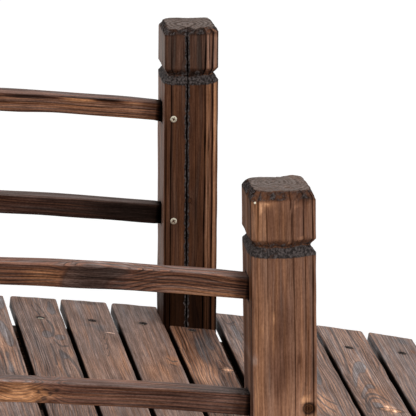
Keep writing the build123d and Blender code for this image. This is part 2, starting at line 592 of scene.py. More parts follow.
    height = scaled(pores, 0.35, scaled(line, 0.4, times(fibre, 0.9)))
    height = scaled(times(charred, broken), 1.4, height)
    relief = graph.add("ShaderNodeBump", {"Strength": BUMP, "Distance": BUMP_DEPTH, "Height": height})
    rough = scaled(charred, 0.2, scaled(fibre, 0.2, WOOD_ROUGHNESS - 0.1), clamp=True)
    gloss = times(graph.smaller(shade, 1.0), SATIN)
    looks = {"Base Color": colour, "Roughness": rough, "Specular IOR Level": gloss}
    graph.finish(graph.add("ShaderNodeBsdfPrincipled", {**looks, "Normal": relief.outputs[0]}))
    return material


def steel(name, tint, roughness):
    """Plated screw steel with dull spots."""
    material = bpy.data.materials.new(name)
    graph = Graph(material)
    spots = graph.board_noise(graph.field("rest", "Vector"), 0.6, 0.6, 3.0)
    colour = graph.mix(graph.step(spots, 0.45, 0.75), rgb(*tint), rgb(*[0.45 * part for part in tint]))
    looks = {"Base Color": colour, "Metallic": 1.0, "Roughness": graph.scaled(spots, 0.3, roughness - 0.1)}
    graph.finish(graph.add("ShaderNodeBsdfPrincipled", looks))
    return material


# Colours of early and late wood, of its warm places and of its grey ones
WOOD_COLOURS = {
    "deck_wood": ((0.240, 0.147, 0.113), (0.060, 0.041, 0.037), (0.375, 0.182, 0.102), (0.148, 0.140, 0.146)),
    "post_wood": ((0.225, 0.104, 0.062), (0.085, 0.038, 0.025), (0.330, 0.150, 0.072), (0.150, 0.112, 0.095)),
    "rail_wood": ((0.188, 0.080, 0.050), (0.036, 0.016, 0.011), (0.330, 0.140, 0.060), (0.120, 0.080, 0.068)),
    # The stringers' colours are darkened as painted shade, for the dark under the deck
    "stringer_wood": ((0.11, 0.058, 0.038), (0.035, 0.022, 0.018), (0.17, 0.08, 0.04), (0.075, 0.058, 0.052)),
    "batten_wood": ((0.115, 0.062, 0.04), (0.038, 0.024, 0.02), (0.17, 0.084, 0.044), (0.08, 0.062, 0.055)),
}
WOOD_CONTRAST = {"post_wood": dict(grain=0.7, streaks=0.5), "rail_wood": dict(grain=1.1)}
woods = {name: wood(name, *colours, **WOOD_CONTRAST.get(name, {})) for name, colours in WOOD_COLOURS.items()}
screw_steel = steel("screw_steel", (0.72, 0.66, 0.52), 0.34)


# Deck slats

SCREW_WINDOW = 7.0    # half of the square round a screw that keeps rows and columns of its own
HOLE_PROFILE = ((4.7, 0.0), (4.15, 0.05), (3.8, 0.4), (3.6, 1.2), (3.45, 2.4), (3.4, 4.4))
SCREW_DEEP = 2.5
SCREW_LINE = 272.0
SLAT_ARRIS = 1.1
SLAT_LIFT = 0.8
FAR_REACH = 1.5       # how far the slats run out past their nominal ends
DETAIL_FROM = -25.0   # the photograph shows the slats from here to their far ends
ROW_STEP = 8.5
DETAIL_STEP = 3.2


def slat_screws(length, seed, far_screw):
    """Places (across, along) of the two screws of a slat, each a little off its line."""
    rng = np.random.default_rng(seed)
    reach = SCREW_LINE if length > LONG_SLAT else STRINGER_Y - 1.0
    places = [(rng.uniform(-3.0, 3.0), line + rng.uniform(-2.5, 2.5)) for line in (-reach, reach)]
    if far_screw:
        places[1] = far_screw
    return places


def slat_shape(length, width, screws, seed, seen):
    """Rest points and faces of a slat, upper face at deep 0, with bored screw places."""
    rng = np.random.default_rng(seed)
    half = width / 2
    end = length / 2
    marks = [side * (end - mark) for side in (-1, 1) for mark in (0.0, 0.3, 0.7, 1.2, 2.0, 3.2, 5.0)]
    for _, along in screws:
        marks.extend(along + SCREW_WINDOW * share / 3 for share in range(-3, 4))
    near_part = stations([mark for mark in marks if mark < DETAIL_FROM] + [DETAIL_FROM], ROW_STEP)
    far_marks = [mark for mark in marks if mark > DETAIL_FROM] + [DETAIL_FROM]
    along = np.concatenate([near_part[:-1], stations(far_marks, DETAIL_STEP if seen else ROW_STEP)])
    rows = len(along)

    # The upper face has a window round each screw; the other faces are the same in every row
    col_from, col_to = (16, 28) if seen else (7, 13)
    last = col_from + col_to
    cols_at = (0, 1, 2, col_from, col_to, last - 2, last - 1, last)
    edge = np.array([0.0, 0.5, 1.4])
    shift = np.interp(along, [place[1] for place in screws], [place[0] for place in screws])
    top = np.empty((rows, last + 1))
    for row, middle in enumerate(shift):
        spots = [*(edge - half), middle - SCREW_WINDOW, middle + SCREW_WINDOW, *(half - edge[::-1])]
        top[row] = np.interp(np.arange(last + 1), cols_at, spots)
    side = np.array([0.5, 1.4, 3.8, 6.6, 8.9, 9.5])
    bottom = [half, half - 0.5, half - 1.1, 14.0, 7.0, 0.0, -7.0, -14.0, -half + 1.1, -half + 0.5, -half]
    around = np.concatenate([np.full(6, half), bottom, np.full(6, -half)])
    across = np.concatenate([top, np.tile(around, (rows, 1))], axis=1)
    share = np.concatenate([np.zeros(last + 1), side / SLAT_THICK, np.ones(11), side[::-1] / SLAT_THICK])

    # Worn outline: plan corners, end arrises and uneven long arrises
    from_end = np.minimum(end - along, along + end)
    corner = rng.uniform(1.6, 3.2) if length > LONG_SLAT else 0.6
    inside = np.clip(corner - from_end, 0, None)
    narrow = half - (corner - np.sqrt(np.maximum(corner**2 - inside**2, 0)))
    dip = np.clip(SLAT_ARRIS - from_end, 0, None)
    drop = SLAT_ARRIS - np.sqrt(np.maximum(SLAT_ARRIS**2 - dip**2, 0))
    across = across * (narrow / half)[:, None]
    top_level = -drop[:, None]
    low_level = -SLAT_THICK + 0.6 * drop[:, None]
    deep = top_level + share * (low_level - top_level)
    wear = side_wear(across, along, seed + 5, 60)
    radius = np.where(deep > -SLAT_THICK / 2, 1.1 + 0.35 * wear, 0.9 + 0.2 * wear)
    across, deep = rounded(across, deep, narrow[:, None], low_level, top_level, np.clip(radius, 0.4, 2.0))

    cols = across.shape[1]
    windows = []
    loops = []
    for screw in screws:
        ends = (screw[1] - SCREW_WINDOW, screw[1] + SCREW_WINDOW)
        row_from, row_to = (int(np.argmin(abs(along - place))) for place in ends)
        windows.append((row_from, row_to, col_from, col_to))
        loop = [(row_from, col) for col in range(col_from, col_to)]
        loop += [(row, col_to) for row in range(row_from, row_to)]
        loop += [(row_to, col) for col in range(col_to, col_from, -1)]
        loop += [(row, col_from) for row in range(row_to, row_from, -1)]
        loops.append([row * cols + col for row, col in loop])
    points, faces = closed_board(across, deep, along, (0.8, 0.5, 0.2), windows)
    for loop, screw in zip(loops, screws):
        points = bored(points, faces, loop, screw, HOLE_PROFILE)
    return points, faces


def arch_axes(tilt):
    """Tangent and normal of the arch where it leans by the tilt."""
    sine, cosine = math.sin(tilt), math.cos(tilt)
    return np.array([cosine, 0.0, -sine]), np.array([sine, 0.0, cosine])


def slat_frame(node):
    """Origin on the walking surface, tangent, normal and length of a slat, from its node's box."""
    low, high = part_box(node)
    middle = (low + high) / 2 / MM
    tangent, normal = arch_axes(math.asin(middle.x / (DECK_RADIUS - SLAT_THICK / 2)))
    origin = np.array([middle.x, 0.0, middle.z]) + normal * SLAT_THICK / 2
    return origin, tangent, normal, (high.y - low.y) / MM


# What the photograph shows of single slats. Patches and swirls are places (across, along) on the
# slat, their reach, and the change of tone or the lean and height of ring lines.
SLAT_FACTS = {
    22: dict(
        pith=(30, -14), tilt=(-0.01, 0.01), spacing=3.2, tone=(0.1, 0.0), shift=3.4, figure=0.6,
        blots=(((16, 312), (5, 24), -0.3), ((8, 114), (2.0, 46), 0.2)),
        outlines=(
            (
                (10, 262), (13, 250), (17, 225), (19, 192), (17, 168), (12, 166), (10.5, 190), (8, 225),
                (5, 262),
            ),
        ),
        veins=((1.2, ((20, 156), (19, 120), (19, 87))), (0.9, ((3, 150), (4, 110), (2, 80)))),
        patches=(((9, 145), (9, 60), (0, 0.15, 0.6)), ((8, 262), (5, 30), (0, 0.1, 0.5))),
    ),
    23: dict(
        pith=(34, -16), tilt=(0.008, 0.01), spacing=1.8, tone=(-0.03, 0.1), shift=4.0,
        screw=(0.8, 270.4), screw_deep=1.3, figure=0.8,
        blots=(((14, 303), (3.5, 20), 0.3),),
        outlines=(
            ((-3, 219), (0, 228), (4, 226), (7, 217), (5, 206), (0, 202), (-4, 208)),
            ((8, 207), (11, 215), (16, 214), (18, 205), (14, 196), (9, 198)),
            ((8.5, 163), (7, 140), (10, 137), (14.5, 139), (16, 146), (12, 153)),
        ),
        veins=(
            (1.0, ((-4, 311), (-2, 291), (1, 281))), (0.9, ((0, 319), (4, 299), (5, 286))),
            (1.4, ((6, 264), (9, 246), (9, 229), (6, 209))), (1.0, ((6, 196), (10, 176), (17, 179))),
            (1.7, ((8.5, 163), (7.5, 138), (6.5, 113), (7, 88), (9.5, 66), (10, 50))),
            (1.7, ((8.5, 163), (14, 146), (18.5, 118), (20.5, 90), (20.5, 60))),
            (1.4, ((2, 182), (2, 156), (1, 118))),
        ),
        patches=(
            ((3, 118), (1.5, 36), (0, 0.1, 0.6)), ((18, 158), (2.0, 14), (0, 0.2, 0.8)),
            ((13, 108), (5.0, 30), (0, 0.0, 0.1)), ((-15, 330), (9, 12), (0, 0.1, 0.25)),
        ),
    ),
    24: dict(
        pith=(50, -24), tilt=(0.0, 0.006), spacing=2.1, tone=(-0.05, 0.0), shift=2.8,
        screw=(1.1, 271.7), screw_deep=2.2, figure=0.3,
        veins=(
            (0.5, ((1, 230), (5, 205), (9, 230))), (0.5, ((1, 214), (5, 188), (9, 214))),
            (0.5, ((0, 198), (4, 171), (8, 198))), (0.5, ((-1, 177), (3, 148), (7, 177))),
        ),
        patches=(
            ((4, 330), (10, 6), (0, -0.6, -0.5)), ((0, 120), (20, 40), (0, 0.05, 0.3)),
            ((2, 255), (12, 6), (0, -0.1, -0.5)), ((6, 245), (5, 8), (0, -0.2, -0.6)),
            ((-14, 240), (6, 60), (0, 0.1, 0.2)),
        ),
    ),
    25: dict(
        pith=(60, -30), tilt=(0.02, 0.02), spacing=2.2, tone=(0.02, 0.0), shift=1.65, width=43.7,
        screw=(1.1, 274.8), screw_deep=1.7, figure=0.2,
        veins=((0.8, ((10, 164), (14, 154), (19, 158))), (0.8, ((11, 146), (16, 141)))),
        patches=(
            ((15, 158), (8, 16), (0, 0.1, 0.8)), ((-2, 110), (15, 30), (0, 0.1, 0.5)),
            ((-10, 168), (8, 8), (0, -0.3, -0.2)), ((0, 310), (22, 32), (0, -0.05, -0.4)),
        ),
    ),
    26: dict(
        pith=(30, -14), tilt=(0.03, 0.01), spacing=3.3, tone=(-0.8, 0.2), shift=0.2, width=43.3,
        screw=(-1.0, 268.5), screw_deep=1.9, figure=0.8, knots=(((15.5, 0, 144), 4.0, 0.8),),
        blots=(((10, 250), (2.5, 40), 0.2),),
        veins=((1.0, ((12, 173), (17, 158), (22, 142))), (0.9, ((8, 166), (8, 135), (9, 110)))),
        patches=(
            ((-17, 200), (7, 110), (0, 0.25, 0.9)), ((-14.5, 240), (0.9, 90), (0, -1.2, 0)),
            ((-10.5, 230), (0.8, 80), (0, -1.0, 0)), ((-17.5, 215), (0.8, 90), (0, -0.9, 0)),
            ((0, 200), (6, 40), (0, -0.15, -0.9)), ((8, 235), (8, 30), (0, -0.2, -0.7)),
            ((20, 180), (1.5, 70), (0, 1.1, -0.4)), ((-8, 125), (13, 40), (0, 1.0, 0.9)),
            ((15.5, 144), (3.8, 8), (0, 2.4, 0.2)),
        ),
    ),
    27: dict(
        pith=(-40, -16), tilt=(0.0, 0.012), spacing=2.8, tone=(-0.05, -0.1), shift=2.0, figure=0.8,
        blots=(((-9, 275), (3, 30), -0.3),),
        veins=(
            (1.0, ((-17, 322), (-15, 302), (-10, 304), (-6, 312))),
            (0.9, ((-17, 270), (-14, 230), (-16, 190))),
        ),
        patches=(((-13, 190), (5, 30), (0, 0.1, 0.4)),),
    ),
    28: dict(
        pith=(36, -14), tilt=(0.0, 0.01), spacing=2.6, tone=(0.12, 0.1), shift=2.5, figure=0.8, width=44.8,
        outlines=(((6, 200), (4, 165), (2, 142), (-1, 127), (-6, 134), (-3, 142), (0, 160), (1, 195)),),
        veins=(
            (1.1, ((-10, 112), (-5, 82), (4, 71))), (1.2, ((-14, 98), (-8, 63), (-1, 46))),
            (1.1, ((-17, 78), (-13, 44), (-7, 26))),
        ),
        patches=(((-9, 70), (11, 36), (0, 0.35, 0.9)), ((10, 120), (5, 60), (0, 0.1, 0.3))),
    ),
    29: dict(
        pith=(38, -14), tilt=(-0.01, 0.006), spacing=2.7, tone=(0.15, 0.1), shift=2.85, width=46.3,
        screw=(-1.1, 272.4), knots=(((5.4, 0, 75.0), 5.0, 1.0),), figure=0.9,
        outlines=(
            (
                (-4, 221), (2, 229), (6, 214), (4, 204), (0, 189), (-5, 190), (-10, 170), (-18, 128),
                (-17, 150), (-11, 196),
            ),
            (
                (-11, 132), (-4, 154), (0, 154), (4, 149), (1, 139), (-4, 142), (-10, 122), (-17, 96),
                (-18, 106),
            ),
            ((-10, 93), (-2, 97), (1, 85), (-4, 74), (-9, 79)),
        ),
        veins=(
            (1.2, ((-19, 62), (-14.5, 97), (-12, 111), (-7.5, 120), (-0.5, 123), (5, 112), (9, 103))),
            (1.0, ((-18, 59), (-11.5, 99), (-5.5, 111), (1.5, 109), (3, 98))),
            (0.9, ((-16, 58), (-13, 78), (-12, 90))), (1.7, ((-9, 334), (-9, 303), (-12, 235), (-16, 182))),
            (1.4, ((7, 332), (7, 309), (9, 280))),
        ),
        patches=(
            ((2, 122), (12, 34), (0, 0.1, 0.6)), ((6, 78), (7, 13), (0, 1.1, 0.9)),
            ((3.5, 84), (2.0, 3.0), (0, 1.0, 0.2)), ((8.5, 72), (2.0, 3.0), (0, 1.2, 0.2)),
            ((4.5, 72), (1.5, 2.5), (0, -1.0, 0.2)), ((-12, 200), (4, 110), (0, 0.1, 0.4)),
            ((4, 196), (1.3, 20), (0, 0.6, 0.7)),
        ),
    ),
    30: dict(
        pith=(-46, -18), tilt=(0.01, 0.02), spacing=2.5, tone=(0.15, -0.2), shift=4.3, figure=0.6,
        screw=(0.8, 279.7), screw_deep=2.2,
        patches=(((13.5, 290), (3, 6), (0, -0.3, 1.1)), ((8, 322), (6, 10), (0, -0.1, -0.8))),
    ),
}


def slat_facts(number):
    """Facts of a slat, made up from its number where the photograph doesn't show it."""
    rng = np.random.default_rng(900 + number)
    facts = dict(
        pith=(rng.uniform(-34, 34), -rng.uniform(7, 22)),
        tilt=(rng.uniform(-0.015, 0.015), rng.uniform(0.0, 0.02)),
        spacing=rng.uniform(2.2, 3.4),
        tone=(rng.uniform(-0.22, 0.12), rng.uniform(-0.3, 0.25)),
        shift=rng.uniform(-0.8, 0.8),
        turn=rng.uniform(-0.12, 0.12),
        width=SLAT_WIDTH, screw=None, screw_deep=SCREW_DEEP, blots=(), outlines=(), veins=(),
        figure=rng.uniform(0.4, 1.1),
        knots=[
            ((rng.uniform(-15, 15), 0, rng.uniform(-300, 300)), rng.uniform(3, 5), rng.uniform(0.8, 2))
            for _ in range(rng.integers(0, 3))
        ],
        swirls=[
            (
                (rng.uniform(-14, 14), rng.uniform(-280, 280)), (rng.uniform(5, 12), rng.uniform(15, 70)),
                rng.uniform(-0.05, 0.05), rng.uniform(-4, 4),
            )
            for _ in range(rng.integers(1, 4))
        ],
        patches=[
            (
                (rng.uniform(-20, 20), rng.uniform(-300, 300)), (rng.uniform(4, 12), rng.uniform(10, 60)),
                (0, rng.uniform(-0.25, 0.2), rng.uniform(-0.9, 0.6)),
            )
            for _ in range(rng.integers(2, 6))
        ],
    )
    if number in SLAT_FACTS:
        facts.update(turn=0.0, knots=(), swirls=(), figure=1.0)
        facts.update(SLAT_FACTS[number])
    return SimpleNamespace(**facts)


def slat_tone(rest, facts, screws, number):
    """Scorch, light and warmth of a slat's points, with painted shade in the gaps and underneath."""
    light, warmth = facts.tone
    tone = uneven_tone(rest, (light, 0.1, 800 + number, 30, 160), (warmth, 0.1, 850 + number, 30, 200))
    paint(tone, rest, facts.patches)
    # Painted shade on the sides down in the gaps; near the far ends the sides get a painted reflection of the
    # pale backdrop instead
    below = ease(rest[:, 1], -0.9, -2.2)
    painted_reflection_share = ease(abs(rest[:, 2]), 255.0, 290.0)
    if number in (1, 30):
        painted_reflection_share = np.where(rest[:, 0] * (number - 15) > 0, 1.0, painted_reflection_share)
    # Painted shade on the underside; painted reflection, lighter and cooler, on the sides near the far ends
    # and on the end slats' outer sides
    under = (abs(rest[:, 0]) < facts.width / 2 - 1.2) & (rest[:, 1] < -5)
    tone[:, 1] += np.where(under, -1.6, below * (0.15 - 6.0 * (1 - painted_reflection_share)))
    tone[:, 2] -= np.where(under, 0.0, 0.9 * below * painted_reflection_share)
    # Screw holes take the char colour, and the wood round each is drawn darker
    for across, along in screws:
        reach = np.hypot(rest[:, 0] - across, rest[:, 2] - along)
        above = rest[:, 1] > -6
        tone[:, 0] = np.maximum(tone[:, 0], 1.1 * ease(reach, 4.9, 3.7) * above)
        tone[:, 1] -= 0.35 * ease(reach, 9.0, 4.5) * above
    return tone


def build_slats():
    """All slats; gives back the node, place and direction of each of their screws."""
    screw_places = []
    for number in range(1, 31):
        node = f"slat_{number:02d}"
        origin, tangent, normal, length = slat_frame(node)
        facts = slat_facts(number)
        screws = slat_screws(length, 40 + number, facts.screw)
        rest, faces = slat_shape(length, facts.width, screws, 200 + number, number in SLAT_FACTS)
        rings = (facts.pith, facts.spacing, facts.tilt, 1.2, 0.35, facts.knots, facts.swirls)
        timber = Timber(300 + number, *rings)
        turn = math.radians(facts.turn)
        end = np.sign(rest[:, 2])
        across = rest[:, 0] + facts.shift + turn * rest[:, 2]
        run_out = FAR_REACH * ease(abs(rest[:, 2]), 250.0, 338.0) * (length > LONG_SLAT)
        along = rest[:, 2] + end * (run_out + 0.12 * drift(rest[:, 0], 600 + number, 50))
        deep = rest[:, 1] + SLAT_LIFT * (1 + rest[:, 1] / SLAT_THICK)
        deep += 0.14 * ripple(rest, 700 + number, (30, 30, 90)) * (rest[:, 1] > -5)
        world = origin + np.outer(across, tangent) + np.outer(deep, normal)
        world[:, 1] += along
        for screw_across, screw_along in screws:
            sunk = facts.screw_deep if screw_along > 0 else SCREW_DEEP
            screw_across += facts.shift + turn * screw_along
            spot = origin + tangent * screw_across + normal * (SLAT_LIFT - sunk)
            spot[1] += screw_along
            screw_places.append((node, spot, normal))
        tone = slat_tone(rest, facts, screws, number)
        drawn = (facts.blots, facts.veins, facts.outlines)
        wood_piece(node, rest, world, faces, timber, tone, "deck_wood", facts.figure, drawn)
    return screw_places


# Posts

HIDDEN_COLS = 34
NOTCH_DROOP = 2.6
FRONT, RIGHT, BACK, LEFT = range(4)
SIDE_NORMALS = np.array([(0.0, -1.0), (1.0, 0.0), (0.0, 1.0), (-1.0, 0.0)])
SIDE_WAYS = np.array([(1.0, 0.0), (0.0, 1.0), (-1.0, 0.0), (0.0, -1.0)])
POCKET_ACROSS = 9.5
POCKET_HIGH = 9.7
PLAIN_POST = dict(
    grow=0.0, head_grow=0.0, offset=(0.0, 0.0), lean=0.0, lift=0.0, step=5.0, tone=(-0.2, 0.05), sides={},
    cols={}, strips=(), patches=(), dark_below=0.0, dark_depth=1.2, sag=None, bump=None, figure=0.8,
    top=(-0.3, -0.7), top_rings=0.7,
)


def post_levels(step):
    """Rows of a post from its lower end to its top."""
    marks = [POST_BOTTOM, POST_BOTTOM + 0.6, POST_BOTTOM + 1.6]
    for level in RAIL_LEVELS.values():
        marks.extend(level + mark for mark in (-10.2, -9.6, -4.8, 0.0, 4.8, 9.6, 10.2))
    for share in (0, 0.2, 0.4, 0.6, 0.8, 1, 1.25, 1.6):
        marks.extend((NOTCH_LEVEL + NOTCH_HALF * share, NOTCH_LEVEL - NOTCH_HALF * share))
    marks.extend(BEVEL_START + mark for mark in (-2.5, -1.2, 0.0, 1.2, 2.6, 4.0, 5.4, BEVEL_DROP))
    return stations(marks, step)


def groove(side, low, high, width=0.9, depth=0.5, dark=1.0, span=(POST_BOTTOM, POST_TOP), crack=False):
    """A line in a post's side, from low at its foot to high at its top, measured along the side."""
    return SimpleNamespace(
        side=side, low=low, high=high, width=width, depth=depth, dark=dark, span=span, crack=crack
    )


def chance_grooves(seed, sides=range(4)):
    """Grooves for sides that the photograph doesn't show."""
    rng = np.random.default_rng(seed)
    made = []
    for side in sides:
        for place in np.cumsum(rng.uniform(6, 14, 5)):
            if place > POST_WIDTH - 3:
                break
            foot = rng.uniform(POST_BOTTOM, 260)
            span = (foot, foot + rng.uniform(120, 420))
            slant = rng.uniform(-1.5, 1.5)
            width, depth, dark = rng.uniform(0.6, 1.2), rng.uniform(0.3, 0.9), rng.uniform(0.5, 1.3)
            made.append(groove(side, place, place + slant, width, depth, dark, span))
    return made


def groove_course(levels, seed, line):
    """Place, width and strength of a groove at every level."""
    share = (levels - POST_BOTTOM) / (POST_TOP - POST_BOTTOM)
    place = line.low + (line.high - line.low) * share + 0.22 * drift(levels, seed, 150)
    width = line.width * (1 + (0.06 if line.crack else 0.25) * drift(levels, seed + 1, 45))
    low, high = line.span
    strength = ease(levels, low - 10, low + 25) * (1 - ease(levels, high - 25, high + 10))
    if line.crack:
        place += 0.22 * drift(levels, seed + 3, 8) + 0.12 * drift(levels, seed + 4, 60)
        width *= 1 + 0.2 * drift(levels, seed + 5, 6) + 0.04 * drift(levels, seed + 6, 26)
    else:
        strength *= 0.9 + 0.25 * drift(levels, seed + 2, 40)
    return place, np.clip(width, 0.4, None), np.clip(strength, 0, 1.2)


def side_columns(levels, marks, cols):
    """Column places on one side: every mark keeps its own column, the others spread evenly."""
    marks = sorted(marks, key=lambda mark: mark.mean())
    kept = [0]
    for order, place in enumerate(marks):
        wanted = round(float(place.mean()) / POST_WIDTH * cols)
        kept.append(min(max(kept[-1] + 1, wanted), cols - len(marks) + order))
    columns = np.empty((len(levels), cols + 1))
    for row in range(len(levels)):
        spots = [0.0] + [place[row] for place in marks] + [POST_WIDTH]
        columns[row] = np.interp(np.arange(cols + 1), kept + [cols], np.maximum.accumulate(spots))
    return columns


def side_relief(levels, side, seed, rail_side, grooves, cols):
    """Columns of one side with their dents, scorch and change of light, painted shade in a crack's core
    included.
    """
    in_notch = np.clip(1 - abs(levels - NOTCH_LEVEL) / NOTCH_HALF, 0, 1)
    marks = [np.full(len(levels), mark) for mark in (0.7, 1.7, POST_WIDTH - 1.7, POST_WIDTH - 0.7)]
    courses = []
    for number, line in enumerate(grooves):
        if line.side == side:
            place, width, strength = groove_course(levels, seed + 40 * number, line)
            courses.append((place, width, strength, line))
            shares = (0.08, 0.2, 0.42, 0.6) if line.crack else (0.3, 0.5)
            for share in (*shares, *(-share for share in shares)):
                marks.append(np.clip(place + width * share, 1.8, POST_WIDTH - 1.8))
    if side == rail_side:
        marks += [np.full(len(levels), POST_HALF + mark) for mark in (-10.0, -9.4, 9.4, 10.0)]
    columns = side_columns(levels, marks, cols)
    dent, dark, light = np.zeros((3, *columns.shape))
    for place, width, strength, line in courses:
        away = abs(columns - place[:, None]) / width[:, None]
        power = strength[:, None]
        if line.crack:
            core = 1 - ease(away, 0.08, 0.2)
            dark = np.maximum(dark, 0.85 * power * (1 - ease(away, 0.42, 0.6)) * (1 - 0.8 * core))
            # Painted shade: the crack's narrow core is drawn black, as deep in the crack; the flanks take the
            # char colour
            light -= 3.6 * power * core
        else:
            core = 1 - ease(away, 0.26, 0.52)
            light -= line.dark * power * core
        dent = np.maximum(dent, line.depth * power * core * (1 - 0.5 * in_notch[:, None]))
    if side == rail_side:
        from_middle = abs(columns - POST_HALF)
        for level in RAIL_LEVELS.values():
            from_level = abs(levels - level)[:, None]
            pocket = (from_level < POCKET_HIGH) & (from_middle < POCKET_ACROSS)
            rim = (from_level < POCKET_HIGH + 0.9) & (from_middle < POCKET_ACROSS + 1.1) & ~pocket
            dent[pocket] = MORTISE_DEPTH
            dark[pocket] = 1.4
            dark[rim] = np.maximum(dark[rim], 0.8)
    return columns[:, :-1], dent[:, :-1], dark[:, :-1], light[:, :-1]


def post_sides(levels, reach, seed, rail_side, grooves, looks):
    """Across, deep, inward dents and tone of the four sides, and the side that each column is on."""
    sides = []
    for side in range(4):
        cols = looks.cols.get(side, HIDDEN_COLS)
        columns, dent, dark, light = side_relief(levels, side, seed + 100 * side, rail_side, grooves, cols)
        # A change of tone for a whole side: painted shade on the near right post's left face, painted light
        # on the far right post's left face
        painted_side_light, side_warmth = looks.sides.get(side, (0.0, 0.0))
        light = light + painted_side_light
        warmth = np.full_like(columns, side_warmth)
        for strip_side, low, high, (change_light, change_warmth) in looks.strips:
            if strip_side == side:
                inside = ease(columns, low - 0.7, low + 0.7) * (1 - ease(columns, high - 0.7, high + 0.7))
                light += change_light * inside
                warmth += change_warmth * inside
        along = (columns - POST_HALF) * (reach / POST_HALF)
        across, deep = (reach * out + along * way for out, way in zip(SIDE_NORMALS[side], SIDE_WAYS[side]))
        dents = (dent * -out for out in SIDE_NORMALS[side])
        sides.append(np.stack([across, deep, *dents, dark, light, warmth, np.full_like(columns, side)]))
    return np.concatenate(sides, axis=2)


def build_post(node, timber, seed, rail_side, grooves, **given):
    """A notched post with its grooves, uneven bevels and end grain."""
    looks = SimpleNamespace(**{**PLAIN_POST, **given})
    levels = post_levels(looks.step)
    in_notch = np.clip(1 - abs(levels - NOTCH_LEVEL) / NOTCH_HALF, 0, 1)[:, None]
    in_bevel = np.clip((levels - BEVEL_START) / BEVEL_DROP, 0, 1)[:, None]
    reach = POST_HALF - NOTCH_DEPTH * in_notch - BEVEL_SIDE * in_bevel
    across, deep, dent_x, dent_y, *toned = post_sides(levels, reach, seed, rail_side, grooves, looks)
    scorch, light, warmth, sides = (part.ravel() for part in toned)
    rows, cols = across.shape
    head = ease(levels, NOTCH_LEVEL, NOTCH_LEVEL + 8)[:, None]
    wear = corner_wear(across, deep, levels, seed + 11, 45)
    radius = np.clip(1.0 + 0.4 * wear + 1.0 * head + 2.2 * in_bevel + 1.2 * in_notch, 0.5, 6)
    across, deep = rounded(across, deep, reach, -reach, reach, radius)
    level = np.repeat(levels, cols)
    flat = np.stack([across.ravel(), deep.ravel(), level], axis=1)

    # Rough notch and bevel, wavy lines where they start, a worn top
    rough = np.repeat(np.clip(in_notch * 1.4 + in_bevel * 1.2, 0, 1), cols)
    bump = 0.4 * ripple(flat, seed + 21, (6, 6, 6)) + 0.3 * ripple(flat, seed + 22, (3, 3, 3))
    swell = 0.2 * ripple(flat, seed + 23, (28, 28, 130))
    distance = np.maximum(np.hypot(flat[:, 0], flat[:, 1]), 1.0)
    rest = flat + np.stack([dent_x.ravel(), dent_y.ravel(), 0 * level], axis=1)
    rest[:, :2] += ((swell + rough * bump) / distance)[:, None] * flat[:, :2]
    waver = 0.55 * hill(level, NOTCH_LEVEL, 8) + 1.4 * hill(level, BEVEL_START, 5)
    rest[:, 2] += waver * ripple(flat * (1, 1, 0), seed + 24, (17, 17, 17)) * (level < POST_TOP - 0.5)
    sideways = np.sort(abs(flat[:, :2]), axis=1)
    off_middle = sideways[:, 0] / sideways[:, 1]
    rest[:, 2] -= NOTCH_DROOP * (1 - off_middle**3) * hill(level, NOTCH_LEVEL - 5, 8)
    top_wave = ease(level, BEVEL_START - 2, POST_TOP)
    rest[:, 2] += top_wave * (looks.lift + 0.45 * ripple(flat * (1, 1, 0), seed + 25, (36, 36, 36)))
    if looks.sag:
        place, width, drop = looks.sag
        rest[:, 2] -= drop * top_wave * hill(flat[:, 0], place, width) * ease(-flat[:, 1], 2, POST_HALF - 2)
    if looks.bump:
        (place_x, place_y), width, rise = looks.bump
        rest[:, 2] += rise * top_wave * hill(flat[:, 0], place_x, width) * hill(flat[:, 1], place_y, width)

    faces = tube(rows, cols)
    points = cap(rest, faces, 0, cols, (0.85, 0.55, 0.25))
    before = len(points)
    points = cap(points, faces, rows - 1, cols, [1 - 0.036 * step for step in range(1, 28)])
    points[before:, 2] += 0.22 * ripple(points[before:], seed + 26, (7, 7, 7))

    # Tone: scorched notch, dark bevel and grooves, painted shade low down where given, greyer and cooler end
    # grain on top
    total = rows * cols
    slow = ((looks.tone[0], 0.1, seed + 32, 14, 160), (looks.tone[1], 0.1, seed + 33, 14, 180))
    tone = uneven_tone(points, *slow)
    tone[:total] += np.stack([scorch, light, warmth], axis=1)
    # Painted shade: the post darkens below a given level towards the deck
    if looks.dark_below:
        tone[:, 1] -= looks.dark_depth * ease(points[:, 2], looks.dark_below + 32, looks.dark_below)
    uneven = ripple(points, seed + 31, (9, 9, 9))
    from_apex = np.full(len(points), 9.0)
    from_apex[:total] = (level - NOTCH_LEVEL) / NOTCH_HALF
    lower_slope = np.clip(3.4 + 2 * from_apex, 0, 1) * np.clip(-from_apex * 3 + 0.3, 0, 1)
    upper_slope = np.clip(1.2 - from_apex, 0, 1) * np.clip(from_apex * 3 + 0.3, 0, 1)
    on_top = points[:, 2] > POST_TOP - 1.8 + looks.lift
    on_top[:total] &= level > POST_TOP - 0.5
    bevel = ease(points[:, 2], BEVEL_START - 2.0, BEVEL_START + 0.5) * ~on_top
    bevel[:total] *= np.where(sides == LEFT, 1.5, 1.0)
    for place, level_of, swing in ((lower_slope, 1.0, 0.2), (upper_slope, 0.52, 0.35), (bevel, 0.5, 0.26)):
        tone[:, 0] = np.maximum(tone[:, 0], place * (level_of + swing * uneven))
    tone[:, 1] -= 1.5 * upper_slope + (1.4 + 0.35 * uneven) * bevel
    ring_share = np.mod(timber.ring(points), 1.0)
    top_light = looks.top[0] + 0.15 * uneven
    top_light -= looks.top_rings * ease(ring_share, 0.3, 0.65) * (1 - ease(ring_share, 0.85, 1.0))
    top_warmth = looks.top[1] + 0.3 * ease(points[:, 0], 0, 20)
    tone[on_top] = np.stack([0.05 + 0.2 * uneven, top_light, top_warmth], axis=1)[on_top]
    paint(tone, points, looks.patches)

